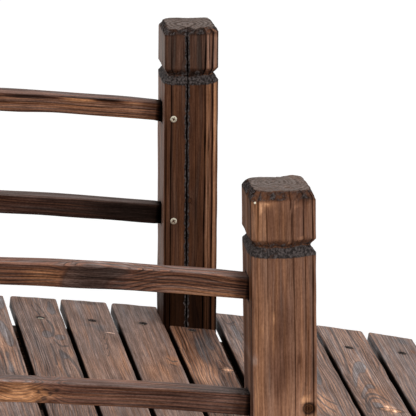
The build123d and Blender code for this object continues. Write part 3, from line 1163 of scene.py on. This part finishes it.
    in_head = ease(points[:, 2], NOTCH_LEVEL - 2, NOTCH_LEVEL + 6)
    grown = 1 + (looks.grow + looks.head_grow * in_head) / POST_HALF
    world = points * np.stack([grown, grown, np.ones_like(grown)], axis=1)
    world[:, 0] += (-POST_X if "left" in node else POST_X) + looks.offset[0]
    world[:, 1] += (-POST_Y if "near" in node else POST_Y) + looks.offset[1]
    world[:, 0] += math.tan(math.radians(looks.lean)) * (points[:, 2] - DECK_BESIDE_POST)
    wood_piece(node, points, world, faces, timber, tone, "post_wood", looks.figure)


def build_posts():
    head = (NOTCH_LEVEL - 5, POST_TOP + 20)
    shaft = (POST_BOTTOM - 30, NOTCH_LEVEL + 5)
    near_lines = [
        groove(FRONT, 5.1, 5.2, 1.1, 0.3, 1.9, head),
        groove(FRONT, 4.5, 4.8, 0.9, 0.2, 0.6, (280, NOTCH_LEVEL)),
        groove(FRONT, 11.9, 12.4, 1.1, 0.3, 1.5, (345, POST_TOP + 20)),
        groove(FRONT, 44.0, 30.6, 1.3, 0.6, 1.9, head), groove(FRONT, 33.4, 32.8, 1.1, 0.3, 1.5, shaft),
        groove(FRONT, 40.4, 40.4, 1.3, 0.6, 1.9, head), groove(FRONT, 41.4, 41.5, 1.0, 0.3, 1.3, shaft),
        groove(FRONT, 43.4, 43.6, 0.9, 0.2, 0.9, (POST_BOTTOM, 340)),
        groove(FRONT, 47.0, 47.4, 1.3, 0.4, 2.3, (POST_BOTTOM - 30, POST_TOP + 20)),
        groove(FRONT, 22.0, 21.6, 0.8, 0.2, 0.5, (POST_BOTTOM, 300)),
        groove(LEFT, 40.0, 39.0, 1.6, 0.8, 2.0, (200, POST_TOP + 20)),
        groove(LEFT, 30.0, 33.0, 1.3, 0.6, 1.4, (300, POST_TOP + 20)),
        groove(LEFT, 12.0, 14.0, 1.2, 0.4, 1.2, (POST_BOTTOM, POST_TOP + 20)),
    ]
    build_post(
        "near_right_post",
        Timber(11, (-2.6, 5.0), 3.7, wander=0.9, wobble=0.12, knots=(((19.3, -26, 257.8), 3.6, 1.6),)),
        1100, LEFT, near_lines + chance_grooves(1150, (RIGHT, BACK)),
        grow=1.35, head_grow=0.2, offset=(1.05, -1.2), lean=-0.85, lift=0.4, step=3.4, tone=(-0.24, 0.15),
        # The left face is painted 1.1 stops darker and warmer as shade
        sides={LEFT: (-1.1, 0.6)}, figure=0.3, top_rings=0.9, cols={FRONT: 70, LEFT: 44},
        strips=(
            (FRONT, 1.5, 12.5, (0.1, 0.3)), (LEFT, 44.0, 50.0, (-0.9, 0.0)), (LEFT, 0.0, 6.0, (0.7, -0.2)),
            (LEFT, 24.0, 32.0, (0.5, 0.2)),
        ),
        bump=((14, 22), 6, 1.2), top=(0.2, -1.5),
        patches=(
            ((19.3, 257.5), (4.6, 5.2), (0, -2.6, 0)), ((15.8, 265.0), (3.6, 3.0), (0, 0.9, 1.0)),
            ((0.0, 415.0), (60.0, 30.0), (0, -0.1, 0)), ((5.0, 238.0), (24.0, 46.0), (0, 0.55, 0.1)),
            ((-26.0, 262.0), (1.6, 50.0), (0, 0.5, -1.0)), ((-23.0, 300.0), (3.0, 5.0), (0, 0.9, -1.0)),
            ((-23.0, 430.0), (3.0, 5.0), (0, 0.1, 0.8)), ((-12.0, 430.0), (6.0, 3.0), (0, 0.2, 0.6)),
            ((11.7, 298.7), (1.2, 7.0), (0, -1.6, 0)), ((-2.0, 334.7), (7.0, 22.0), (0, -0.5, -0.3)),
            ((-3.8, 292.0), (8.0, 26.0), (0, -0.4, -0.3)), ((-18.3, 325.0), (0.9, 6.0), (0, 0.6, 1.0)),
            ((-8.0, 335.0), (0.8, 5.0), (0, 0.6, 1.0)), ((-8.5, 322.0), (0.7, 26.0), (0, 0.5, 0.8)),
            ((-17.0, 428.0), (0.7, 5.0), (0, 1.5, 0.8)), ((-14.5, 425.0), (0.6, 3.0), (0, 1.3, 0.6)),
            ((-12.5, 430.5), (2.5, 0.8), (0, 1.2, 0.6)), ((10.6, 421.0), (0.6, 5.0), (0, 1.4, 0.8)),
            ((13.0, 417.0), (0.6, 1.5), (0, 2.0, 0.4)), ((9.0, 427.0), (0.7, 2.0), (0, 1.2, 0.8)),
            ((4.5, 397.5), (0.8, 1.2), (0, 1.6, 0.8)), ((15.0, 401.0), (0.5, 2.0), (0, 0.8, 0.6)),
            ((0.0, 412.0), (8.0, 14.0), (0, -0.25, 0.2)), ((-19.0, 412.0), (7.0, 16.0), (0, 0.25, 0.5)),
        ),
    )
    far_lines = [
        groove(FRONT, 1.7, 1.8, 1.6, 0.3, 2.2, (POST_BOTTOM - 30, 350)),
        groove(FRONT, 5.4, 6.8, 1.5, 0.4, 2.3),
        groove(FRONT, 21.9, 20.9, 4.2, 4.0, 1.0, (POST_BOTTOM - 30, POST_TOP + 30), crack=True),
        groove(FRONT, 13.5, 14.0, 0.9, 0.2, 0.7, (200, 380)),
        groove(FRONT, 29.0, 29.5, 1.0, 0.2, 0.8, (180, 400)), groove(FRONT, 36.8, 38.0, 1.4, 0.6, 3.0),
        groove(FRONT, 40.6, 41.2, 1.0, 0.3, 2.0), groove(FRONT, 44.2, 44.9, 1.3, 0.6, 3.2),
    ]
    build_post(
        "far_right_post",
        Timber(12, (-4.0, -2.5), 5.2, wander=0.6, wobble=0.1, knots=(((-1.4, -26, 274.0), 2.0, 0.6),)),
        1200, LEFT, far_lines + chance_grooves(1250, (RIGHT, BACK, LEFT)),
        grow=0.3, head_grow=-0.1, offset=(-0.2, 0.0), lean=0.36, lift=-1.1, step=2.2, tone=(-1.5, 0.25),
        # The left face is painted lighter and cooler, as lit
        sides={LEFT: (1.65, -0.45)}, figure=0.6, top_rings=1.1,
        strips=(
            (FRONT, 2.6, 4.6, (0.6, 0.4)), (FRONT, 8.0, 18.5, (0.15, 0.2)),
            (FRONT, 24.0, 35.0, (-0.1, 0.0)), (FRONT, 38.8, 43.6, (1.6, 0.6)),
            (FRONT, 45.6, 48.6, (2.1, 0.8)),
        ),
        patches=(((0.0, 418.0), (60.0, 26.0), (0, 0.25, -0.9)),),
        cols={FRONT: 70, LEFT: 44},
        # Painted shade darkens the post below 182 mm towards the deck
        dark_below=182.0, dark_depth=2.3, sag=(-4.0, 7.0, 4.2), top=(0.0, -1.4),
    )
    build_post(
        "near_left_post", Timber(13, (6.0, -8.0), 4.4, wander=0.8, wobble=0.12), 1300, RIGHT,
        chance_grooves(1350), tone=(-0.25, 0.05), figure=0.7, step=6.0,
    )
    build_post(
        "far_left_post", Timber(14, (-9.0, 6.0), 4.0, wander=0.8, wobble=0.12), 1400, RIGHT,
        chance_grooves(1450) + [groove(BACK, 30, 28, 4.0, 3.5, 1.0, crack=True)], tone=(-0.6, 0.05),
        # Painted shade darkens the post below 165 mm towards the deck
        dark_below=165.0, dark_depth=1.4, step=4.0, figure=0.7,
    )


# Rails

# Painted sheen: how many stops lighter a rail's top face is drawn, and a little cooler
PAINTED_TOP_SHEEN = 1.0
RAIL_HALF = RAIL_THICK / 2 + 0.3
RAIL_TALL = RAIL_HIGH / 2 + 0.35
NO_FRONT = 60.0       # where figure is drawn for the front only, the other sides lie this far off


def spread(half, edge, count):
    """Places across a side: those of the edge from either arris, and as many as count between them."""
    middle = np.linspace(edge[-1] - half, half - edge[-1], count + 2)[1:-1]
    return np.concatenate([np.array(edge) - half, middle, half - np.array(edge[::-1])])


def build_rail(
    node, tier, timber, seed, tone_base, bulge=(0.0, 0.0, 1.0), front_fade=0.0, patches=(), marks=(), low=0.0,
    figure=1.0, drawn=(), top_light=PAINTED_TOP_SHEEN,
):
    """An arched rail; bulge is (height, place, reach), patches are places (deep, along) on its front;
    top_light is the painted sheen on its top face.
    """
    centre_level = RAIL_LEVELS[tier] - math.sqrt(RAIL_RADIUS**2 - RAIL_FACE**2)
    reach = math.asin(RAIL_REACH / RAIL_RADIUS) * RAIL_RADIUS
    along = stations((-reach, 0.8 - reach, reach - 0.8, reach), 5.0)
    flat = spread(RAIL_HALF, (0.0, 0.7, 1.5, 2.6), 7)
    upright = spread(RAIL_TALL, (0.7, 1.5, 2.6), 7)
    across, deep = section(flat, upright, -RAIL_TALL, RAIL_TALL, len(along))
    radius = np.clip(1.4 + 0.6 * corner_wear(across, deep, along, seed, 70), 0.5, 3.0)
    across, deep = rounded(across, deep, RAIL_HALF, -RAIL_TALL, RAIL_TALL, radius)
    rest, faces = closed_board(across, deep, along, (0.7, 0.4))
    across, deep, along = rest.T
    from_middle = abs(along)
    in_mortise = ease(from_middle, RAIL_FACE - 2.0, RAIL_FACE + 1.0)
    raised = bulge[0] * hill(from_middle, *bulge[1:]) * ease(deep, -RAIL_TALL, 0)
    raised += low * ease(deep, RAIL_TALL, -RAIL_TALL) * ease(from_middle, 360, 400)
    slim = 1 - 0.035 * in_mortise
    lift = RAIL_RADIUS + deep * slim + raised * (1 - in_mortise)
    lift += 0.16 * ripple(rest, seed + 7, (25, 25, 120))
    side = across * slim + 0.2 * ripple(rest, seed + 8, (25, 25, 150))
    side += -POST_Y if "near" in node else POST_Y
    angle = along / RAIL_RADIUS
    world = np.stack([lift * np.sin(angle), side, centre_level + lift * np.cos(angle)], axis=1)
    light, warmth = tone_base
    tone = uneven_tone(rest, (light, 0.15, seed + 9, 12, 160), (warmth, 0.12, seed + 10, 12, 200))
    # Painted sheen: the top face is drawn lighter by top_light and cooler
    upper = ease(deep, RAIL_TALL - 1.6, RAIL_TALL - 0.5)
    tone[:, 1] += top_light * upper - front_fade * ease(deep, -2, RAIL_TALL - 2) * (1 - upper)
    # Painted shade on the bottom face
    tone[:, 1] -= 0.5 * ease(deep, 1.0 - RAIL_TALL, -RAIL_TALL)
    tone[:, 1] -= 5.0 * ease(from_middle, RAIL_FACE - 5.0, RAIL_FACE - 1.0)
    tone[:, 2] -= 0.35 * upper
    on_front = across < 1.5 - RAIL_HALF
    painted = np.zeros_like(rest)
    paint(painted, np.stack([deep, across, along], axis=1), patches)
    tone += painted * on_front[:, None]
    for place, span, changes in marks:
        tone += (hill(along, place, span) * upper)[:, None] * np.array(changes)
    drawn_on = np.stack([np.where(on_front, deep, NO_FRONT), across, along], axis=1)
    wood_piece(node, rest, world, faces, timber, tone, "rail_wood", figure, drawn, drawn_on)


def build_rails():
    scorched_patch = (
        (7.5, 347), (-9.5, 339), (-10, 358), (-10, 376), (-3.5, 378), (1.5, 386), (6.5, 401), (8.5, 372),
    )
    build_rail(
        "near_upper_rail", "upper",
        Timber(
            21, (22, -60), 2.7, (0.0, 0.004), 1.5, 0.3,
            swirls=(
                ((-9, 362), (60, 17), 0, 2.4), ((-9, 392), (60, 22), 0, 2.2), ((-9, 440), (60, 50), 0, -1.2),
            ),
        ),
        2100, (-0.45, 0.15), bulge=(0.9, 370, 90), front_fade=0.45, figure=1.1,
        drawn=((), (), (scorched_patch,)),
        patches=(
            ((0, 370), (40, 22), (0.05, -0.55, -0.8)), ((-3, 362), (6, 10), (0.2, -0.3, 0)),
            ((5, 384), (5, 12), (0.25, -0.3, -0.6)), ((-8, 465), (5, 36), (0, 0.5, 0.6)),
            ((-2, 325), (9, 16), (0, 0.25, 0.5)), ((0, 492), (40, 9), (0.1, -0.9, -0.2)),
        ),
        marks=(
            (372, 7, (0, 0.7, -0.3)), (391, 6, (0, 0.7, -0.3)), (490, 10, (0.3, -0.9, 0)),
            (300, 60, (0, 0.0, 0.15)),
        ),
    )
    wild_veins = ((0.9, ((-8, 322), (-5, 327), (-1, 331), (4, 339))), (0.6, ((-3, 318), (2, 323), (4, 329))))
    build_rail(
        "near_lower_rail", "lower",
        Timber(
            22, (14, -70), 2.5, (0.0, 0.004), 0.8, 0.15,
            swirls=(((-9, 304), (60, 13), 0, 1.5), ((-9, 331), (60, 9), 0, -1.8)),
        ),
        2200, (-0.62, -0.05), front_fade=0.1, figure=0.55,
        drawn=((), wild_veins, ()),
        patches=(
            ((-2, 308), (9, 22), (0, 0.95, 1.5)), ((0, 304), (1.4, 5), (0, 0.9, 0.3)),
            ((2.8, 311), (1.2, 4), (0, 0.9, 0.3)), ((-5.2, 297), (1.4, 6), (0, 0.8, 0.3)),
            ((-0.8, 317), (1.8, 2.5), (0, 0.9, 0.3)), ((-5, 311), (1.2, 4), (0, 0.7, 0.3)),
            ((0.5, 295), (1.5, 5), (0, -0.7, -0.2)), ((-3, 322), (2.5, 4), (0, -0.5, 0)),
            ((0, 440), (40, 60), (0, 0.0, -0.15)), ((0, 488), (40, 6), (0.1, -0.6, 0)),
        ),
        marks=((470, 40, (0.1, -0.3, -1.0)), (491, 8, (0.5, -0.8, 0)), (300, 30, (0, 0.0, -0.6))),
    )
    build_rail(
        "far_upper_rail", "upper", Timber(23, (-20, 60), 3.4, (0.0, 0.004), 1.5, 0.25), 2300, (0.2, 0.5),
        bulge=(0.2, 413, 60), low=1.3, figure=1.1, top_light=-0.2, marks=((400, 300, (0, 0, -0.7)),),
        patches=(
            ((0, 492), (40, 14), (0.15, -0.8, -0.2)), ((7.0, 372), (1.3, 32), (0, -3.2, -0.6)),
            ((7.2, 446), (1.2, 15), (0, -3.2, -0.6)), ((6, 418), (3, 16), (0, 0.3, 0.6)),
        ),
    )
    build_rail(
        "far_lower_rail", "lower", Timber(24, (-12, 48), 2.8, (0.0, 0.004), 1.5, 0.3), 2400, (-1.6, -0.9),
        figure=0.35, top_light=1.5,
        patches=(((0, 480), (40, 50), (0, -1.2, -0.5)), ((0, 330), (40, 50), (0, 0.2, 0.5))),
        marks=((480, 50, (0, -0.8, 0)),),
    )


# Stringers


def build_stringer(node, y, timber, seed):
    marks = (STRINGER_END, STRINGER_END - 1.0, FOOT_START)
    along = stations([side * mark for side in (-1, 1) for mark in marks], 8.0)
    top = DECK_HEIGHT - DECK_RADIUS + np.sqrt(STRINGER_TOP_RADIUS**2 - along**2)
    arch_radius = (FOOT_START**2 + ARCH_RISE**2) / (2 * ARCH_RISE)
    arch = ARCH_RISE - arch_radius + np.sqrt(np.maximum(arch_radius**2 - along**2, 0))
    low = np.where(abs(along) < FOOT_START, np.maximum(arch, 0), 0.0)[:, None]
    half = STRINGER_THICK / 2
    upright = np.concatenate([[0.01, 0.025], np.linspace(0.025, 0.975, 15)[1:-1], [0.975, 0.99]])
    flat = mirrored(half, half - 0.7, half - 1.8, 3.0)
    across, share = section(flat, upright, 0, 1, len(along))
    height = low + (top[:, None] - low) * share
    radius = np.clip(1.3 + 0.5 * side_wear(across, along, seed, 80), 0.5, 2.4)
    across, height = rounded(across, height, half, low, top[:, None], radius)
    rest, faces = closed_board(across, height, along, (0.8, 0.5, 0.2))
    side = y + rest[:, 0] + 0.12 * ripple(rest, seed + 2, (40, 40, 160))
    world = np.stack([rest[:, 2], side, np.maximum(rest[:, 1], 0.0)], axis=1)
    # Painted shade: the stringers are drawn 0.6 stops darker, for the dark under the deck
    tone = uneven_tone(rest, (-0.6, 0.15, seed + 3, 40, 220), (0.0, 0.12, seed + 4, 40, 260))
    # Darker and more scorched near the floor at the feet
    near_floor = ease(rest[:, 1], 16.0, 0.0) * ease(abs(rest[:, 2]), FOOT_START - 60, FOOT_START)
    tone += np.outer(near_floor, (0.35, -0.3, 0))
    wood_piece(node, rest, world, faces, timber, tone, "stringer_wood")


def build_stringers():
    knots = (((10, 120, -210), 6.5, 2.0), ((10, 90, 480), 5.0, 1.6), ((-10, 140, 60), 5.5, 2.0))
    for name, y, pith, spacing, tilt, own_knots, number in (
        ("near", -STRINGER_Y, (34, 110), 5.0, (0.012, 0.01), knots, 31),
        ("middle", 0.0, (-30, 130), 4.6, (-0.01, 0.012), knots[:1], 32),
        ("far", STRINGER_Y, (-36, 100), 5.2, (0.01, -0.012), knots[1:], 33),
    ):
        timber = Timber(number, pith, spacing, tilt, 5.0, 0.5, own_knots)
        build_stringer(f"{name}_stringer", y, timber, 100 * number)


# Cross battens


def build_batten(node, seed):
    low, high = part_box(node)
    tangent, normal = arch_axes(math.copysign(BATTEN_ARC / DECK_RADIUS, low.x))
    end = (high.y - low.y) / MM / 2
    along = stations((-end, 0.6 - end, end - 0.6, end), 10.0)
    half = BATTEN_WIDE / 2
    tall = BATTEN_HIGH / 2
    flat = mirrored(half, half - 0.7, half - 1.6, 5.0)
    upright = mirrored(tall - 0.7, tall - 1.6, 13.0, 4.0)
    across, deep = section(flat, upright, -tall, tall, len(along))
    rest, faces = closed_board(*rounded(across, deep, half, -tall, tall, 1.2), along, (0.7, 0.35))
    world = np.array((low + high) / 2) / MM + np.outer(rest[:, 0], tangent) + np.outer(rest[:, 1], normal)
    world[:, 1] += rest[:, 2]
    tone = uneven_tone(rest, (0.0, 0.1, seed, 20, 120), (0.0, 0.0, seed, 20, 120))
    wood_piece(node, rest, world, faces, Timber(seed, (14, 30)), tone, "batten_wood")


# Screws

CROSS_ARM = 1.75
CROSS_HALF_WIDTH = 0.5
HEXAGON_INNER = 5.0
RAIL_SCREW_HEAD = 3.15
RAIL_SCREW_INWARD = 15.5              # from the post's middle towards the tenon
RAIL_SCREW_PROUD = 0.75
RAIL_SCREW_BELOW = 2.2                # under the rail's middle line
COACH_SPOTS = ((108.0, -9.0), (66.0, 9.0))     # level and distance from the post's middle


def turns(spokes):
    return np.linspace(0, 2 * math.pi, spokes, endpoint=False)


def spun(angle, layers, top, bottom):
    """Points and faces of a small turned shape from (radius, level) layers and its two tips."""
    spokes = len(angle)
    way = np.stack([np.cos(angle), np.sin(angle), 0 * angle], axis=1)
    rings = [way * np.reshape(radius, (-1, 1)) + (0, 0, level) for radius, level in layers]
    faces = tube(len(layers), spokes)
    last = list(range((len(layers) - 1) * spokes, len(layers) * spokes))
    points = filled(np.concatenate(rings), faces, list(range(spokes)), (), (0, 0, top), flip=True)
    return filled(points, faces, last, (), (0, 0, bottom)), faces


def screw_shape(turn, head=3.3):
    """A countersunk head with a cross recess, axis along z, edge of the head at z = 0."""
    angle = turns(48)
    turned = np.maximum(abs(np.mod(angle - turn + math.pi / 4, math.pi / 2) - math.pi / 4), 1e-3)
    cross = np.minimum(CROSS_ARM / np.cos(turned), CROSS_HALF_WIDTH / np.sin(turned))
    recess = ((cross * 0.55, -1.3), (cross * 0.92, -1.0), (cross, 0.22))
    shares = ((0.72, 0.26), (0.94, 0.10), (1.0, -0.12), (0.62, -1.5), (0.5, -3.0))
    return spun(angle, recess + tuple((head * share, level) for share, level in shares), -1.4, -3.0)


def pin_shape():
    """A small domed nail head, axis along z, edge of the head at z = 0."""
    return spun(turns(20), ((0.35, 0.5), (0.8, 0.32), (1.05, 0.0), (0.7, -0.5), (0.5, -3.0)), 0.56, -3.0)


def coach_shape(turn):
    """A hexagonal head on a round washer, axis along z, washer's back at z = 0."""
    angle = turns(36)
    hexagon = HEXAGON_INNER / np.cos(np.mod(angle - turn, math.pi / 3) - math.pi / 6)
    head = ((hexagon * 0.8, 6.1), (hexagon * 0.93, 5.9), (hexagon, 5.3), (hexagon, 1.9))
    return spun(angle, head + ((8.6, 1.8), (9.0, 1.4), (9.0, -0.6)), 6.2, -0.6)


def place_hardware(name, shapes):
    """One object from several small shapes, each (points, faces), place, direction."""
    points, faces, rest = [], [], []
    count = 0
    for (shape_points, shape_faces), spot, direction in shapes:
        turn = np.array(Vector((0, 0, 1)).rotation_difference(Vector(direction)).to_matrix())
        points.append(shape_points @ turn.T + np.asarray(spot))
        rest.append(shape_points + len(rest) * 17.0)
        faces.extend(tuple(corner + count for corner in face) for face in shape_faces)
        count += len(shape_points)
    fields = {"rest": np.concatenate(rest)}
    item = make_mesh(name, np.concatenate(points), faces, screw_steel, fields, sharp=30)
    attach(item, "root")


def build_screws(screw_places):
    rng = np.random.default_rng(77)
    by_slat = {}
    for node, spot, normal in screw_places:
        by_slat.setdefault(node, []).append((screw_shape(rng.uniform(0, math.pi / 2)), spot, normal))
    for node, shapes in by_slat.items():
        place_hardware(node + "_screws", shapes)
    for row, facing in (("near", 1), ("far", -1)):
        for end, side in (("left", -1), ("right", 1)):
            shapes = []
            for level in RAIL_LEVELS.values():
                face = facing * (POST_HALF + RAIL_SCREW_PROUD - POST_Y)
                spot = (side * (POST_X - RAIL_SCREW_INWARD), face, level - RAIL_SCREW_BELOW)
                screw = screw_shape(rng.uniform(0, math.pi / 2), head=RAIL_SCREW_HEAD)
                shapes.append((screw, spot, (0, facing, 0)))
            place_hardware(f"{row}_{end}_post_rail_screws", shapes)
            shapes = []
            for level, offset in COACH_SPOTS:
                spot = (side * (POST_X + offset), facing * (STRINGER_THICK / 2 - STRINGER_Y), level)
                shapes.append((coach_shape(rng.uniform(0, math.pi / 3)), spot, (0, facing, 0)))
            place_hardware(f"{row}_{end}_coach_screws", shapes)


def build_splinter():
    """A torn splinter on a slat."""
    origin, tangent, normal, _ = slat_frame("slat_24")
    share = np.linspace(0, 1, 9)[:, None]
    swell = np.sin(math.pi * share) ** 0.6
    angle = turns(8)
    across = np.repeat(9.0 + 9.5 * share, 8, 1)
    deep = 0.5 + swell * (0.35 + 0.45 * np.sin(angle))
    along = 233.0 - 2.5 * share + swell * 1.3 * np.cos(angle)
    rest = np.stack([across, deep, along], axis=2).reshape(-1, 3)
    faces = tube(9, 8)
    for row in (0, 8):
        rest = cap(rest, faces, row, 8, ())
    world = origin + np.outer(rest[:, 0] + SLAT_FACTS[24]["shift"], tangent)
    world += np.outer(rest[:, 1] + SLAT_LIFT - 0.3, normal)
    world[:, 1] += rest[:, 2]
    fields = {"rest": rest, "tone": np.tile((0.0, 1.5, 0.0), (len(rest), 1)), "drawn": drawn_figure(rest, 0)}
    for field, value in (("ring", 0.3), ("pitch", 20.0), ("knot", NO_MARK), ("figure", 0.0)):
        fields[field] = np.full(len(rest), value)
    item = make_mesh("slat_24_splinter", world, faces, woods["deck_wood"], fields)
    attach(item, "root")


slat_screw_places = build_slats()
build_posts()
build_rails()
build_stringers()
for batten_number, batten in enumerate(("near_left", "near_right", "far_left", "far_right")):
    build_batten(batten + "_batten", 3500 + 10 * batten_number)
build_screws(slat_screw_places)
build_splinter()
place_hardware("near_right_post_pin", [(pin_shape(), (POST_X - 26.1, -POST_Y - 28.0, 431.9), (0, -1, 0))])


# Floor, light and camera

FLOOR_REACH = 60.0
FLOOR_GLOW = 0.30
SKY_LEVEL = 0.62
KEY_STRENGTH = 1.15
KEY_SPREAD = math.radians(40)
KEY_DIRECTION = (-0.25, 0.55, -0.80)
CAMERA_YAW = math.radians(7.610)
CAMERA_PITCH = math.radians(14.908)
CAMERA_ROLL = math.radians(0.113)
CAMERA_PLACE = (-6.3, -3799.9, 1361.0)
CAMERA_LENS = 392.235
WHITE = rgb(1, 1, 1)


def studio_floor():
    """A wide pale floor that shows white and keeps the bridge's shadow."""
    mesh = bpy.data.meshes.new("studio_floor")
    far = FLOOR_REACH
    mesh.from_pydata([(-far, -far, 0), (far, -far, 0), (far, far, 0), (-far, far, 0)], [], [(0, 1, 2, 3)])
    material = bpy.data.materials.new("studio_floor")
    graph = Graph(material)
    matt = graph.add("ShaderNodeBsdfDiffuse", {"Color": rgb(0.8, 0.8, 0.8)})
    glow = graph.add("ShaderNodeEmission", {"Color": WHITE, "Strength": FLOOR_GLOW})
    seen_glow = graph.add("ShaderNodeMixShader", {0: graph.in_view(), 2: glow.outputs[0]})
    graph.finish(graph.add("ShaderNodeAddShader", {0: matt.outputs[0], 1: seen_glow.outputs[0]}))
    mesh.materials.append(material)
    new_object("studio_floor", mesh)


def studio_light():
    """White surroundings for the camera and reflections, a plain level on matt surfaces."""
    world = bpy.data.worlds.new("studio")
    bpy.context.scene.world = world
    graph = Graph(world)
    soft = graph.add("ShaderNodeBackground", {"Color": WHITE, "Strength": SKY_LEVEL})
    white = graph.add("ShaderNodeBackground", {"Color": WHITE, "Strength": 1.0})
    shown = {0: graph.in_view(), 1: soft.outputs[0], 2: white.outputs[0]}
    graph.finish(graph.add("ShaderNodeMixShader", shown), "World")
    lamp = bpy.data.lights.new("key", "SUN")
    lamp.energy = KEY_STRENGTH
    lamp.angle = KEY_SPREAD
    new_object("key", lamp).rotation_euler = Vector(KEY_DIRECTION).to_track_quat("-Z", "Y").to_euler()


def photograph_camera():
    """The camera as fitted to the photograph."""
    level_way = Vector((math.sin(CAMERA_YAW), math.cos(CAMERA_YAW), 0.0))
    forward = math.cos(CAMERA_PITCH) * level_way - Vector((0.0, 0.0, math.sin(CAMERA_PITCH)))
    right = Vector((math.cos(CAMERA_YAW), -math.sin(CAMERA_YAW), 0.0))
    up = right.cross(forward)
    turned_right = math.cos(CAMERA_ROLL) * right + math.sin(CAMERA_ROLL) * up
    turned_up = -math.sin(CAMERA_ROLL) * right + math.cos(CAMERA_ROLL) * up
    lens = bpy.data.cameras.new("camera")
    lens.sensor_fit = "HORIZONTAL"
    lens.sensor_width = 36.0
    lens.lens = CAMERA_LENS
    lens.clip_end = 200.0
    axes = Matrix((turned_right, turned_up, -forward)).transposed().to_4x4()
    axes.translation = Vector(CAMERA_PLACE) * MM
    item = new_object("camera", lens)
    item.matrix_world = axes
    bpy.context.scene.camera = item


studio_floor()
studio_light()
photograph_camera()
bpy.context.scene.view_settings.view_transform = "Standard"
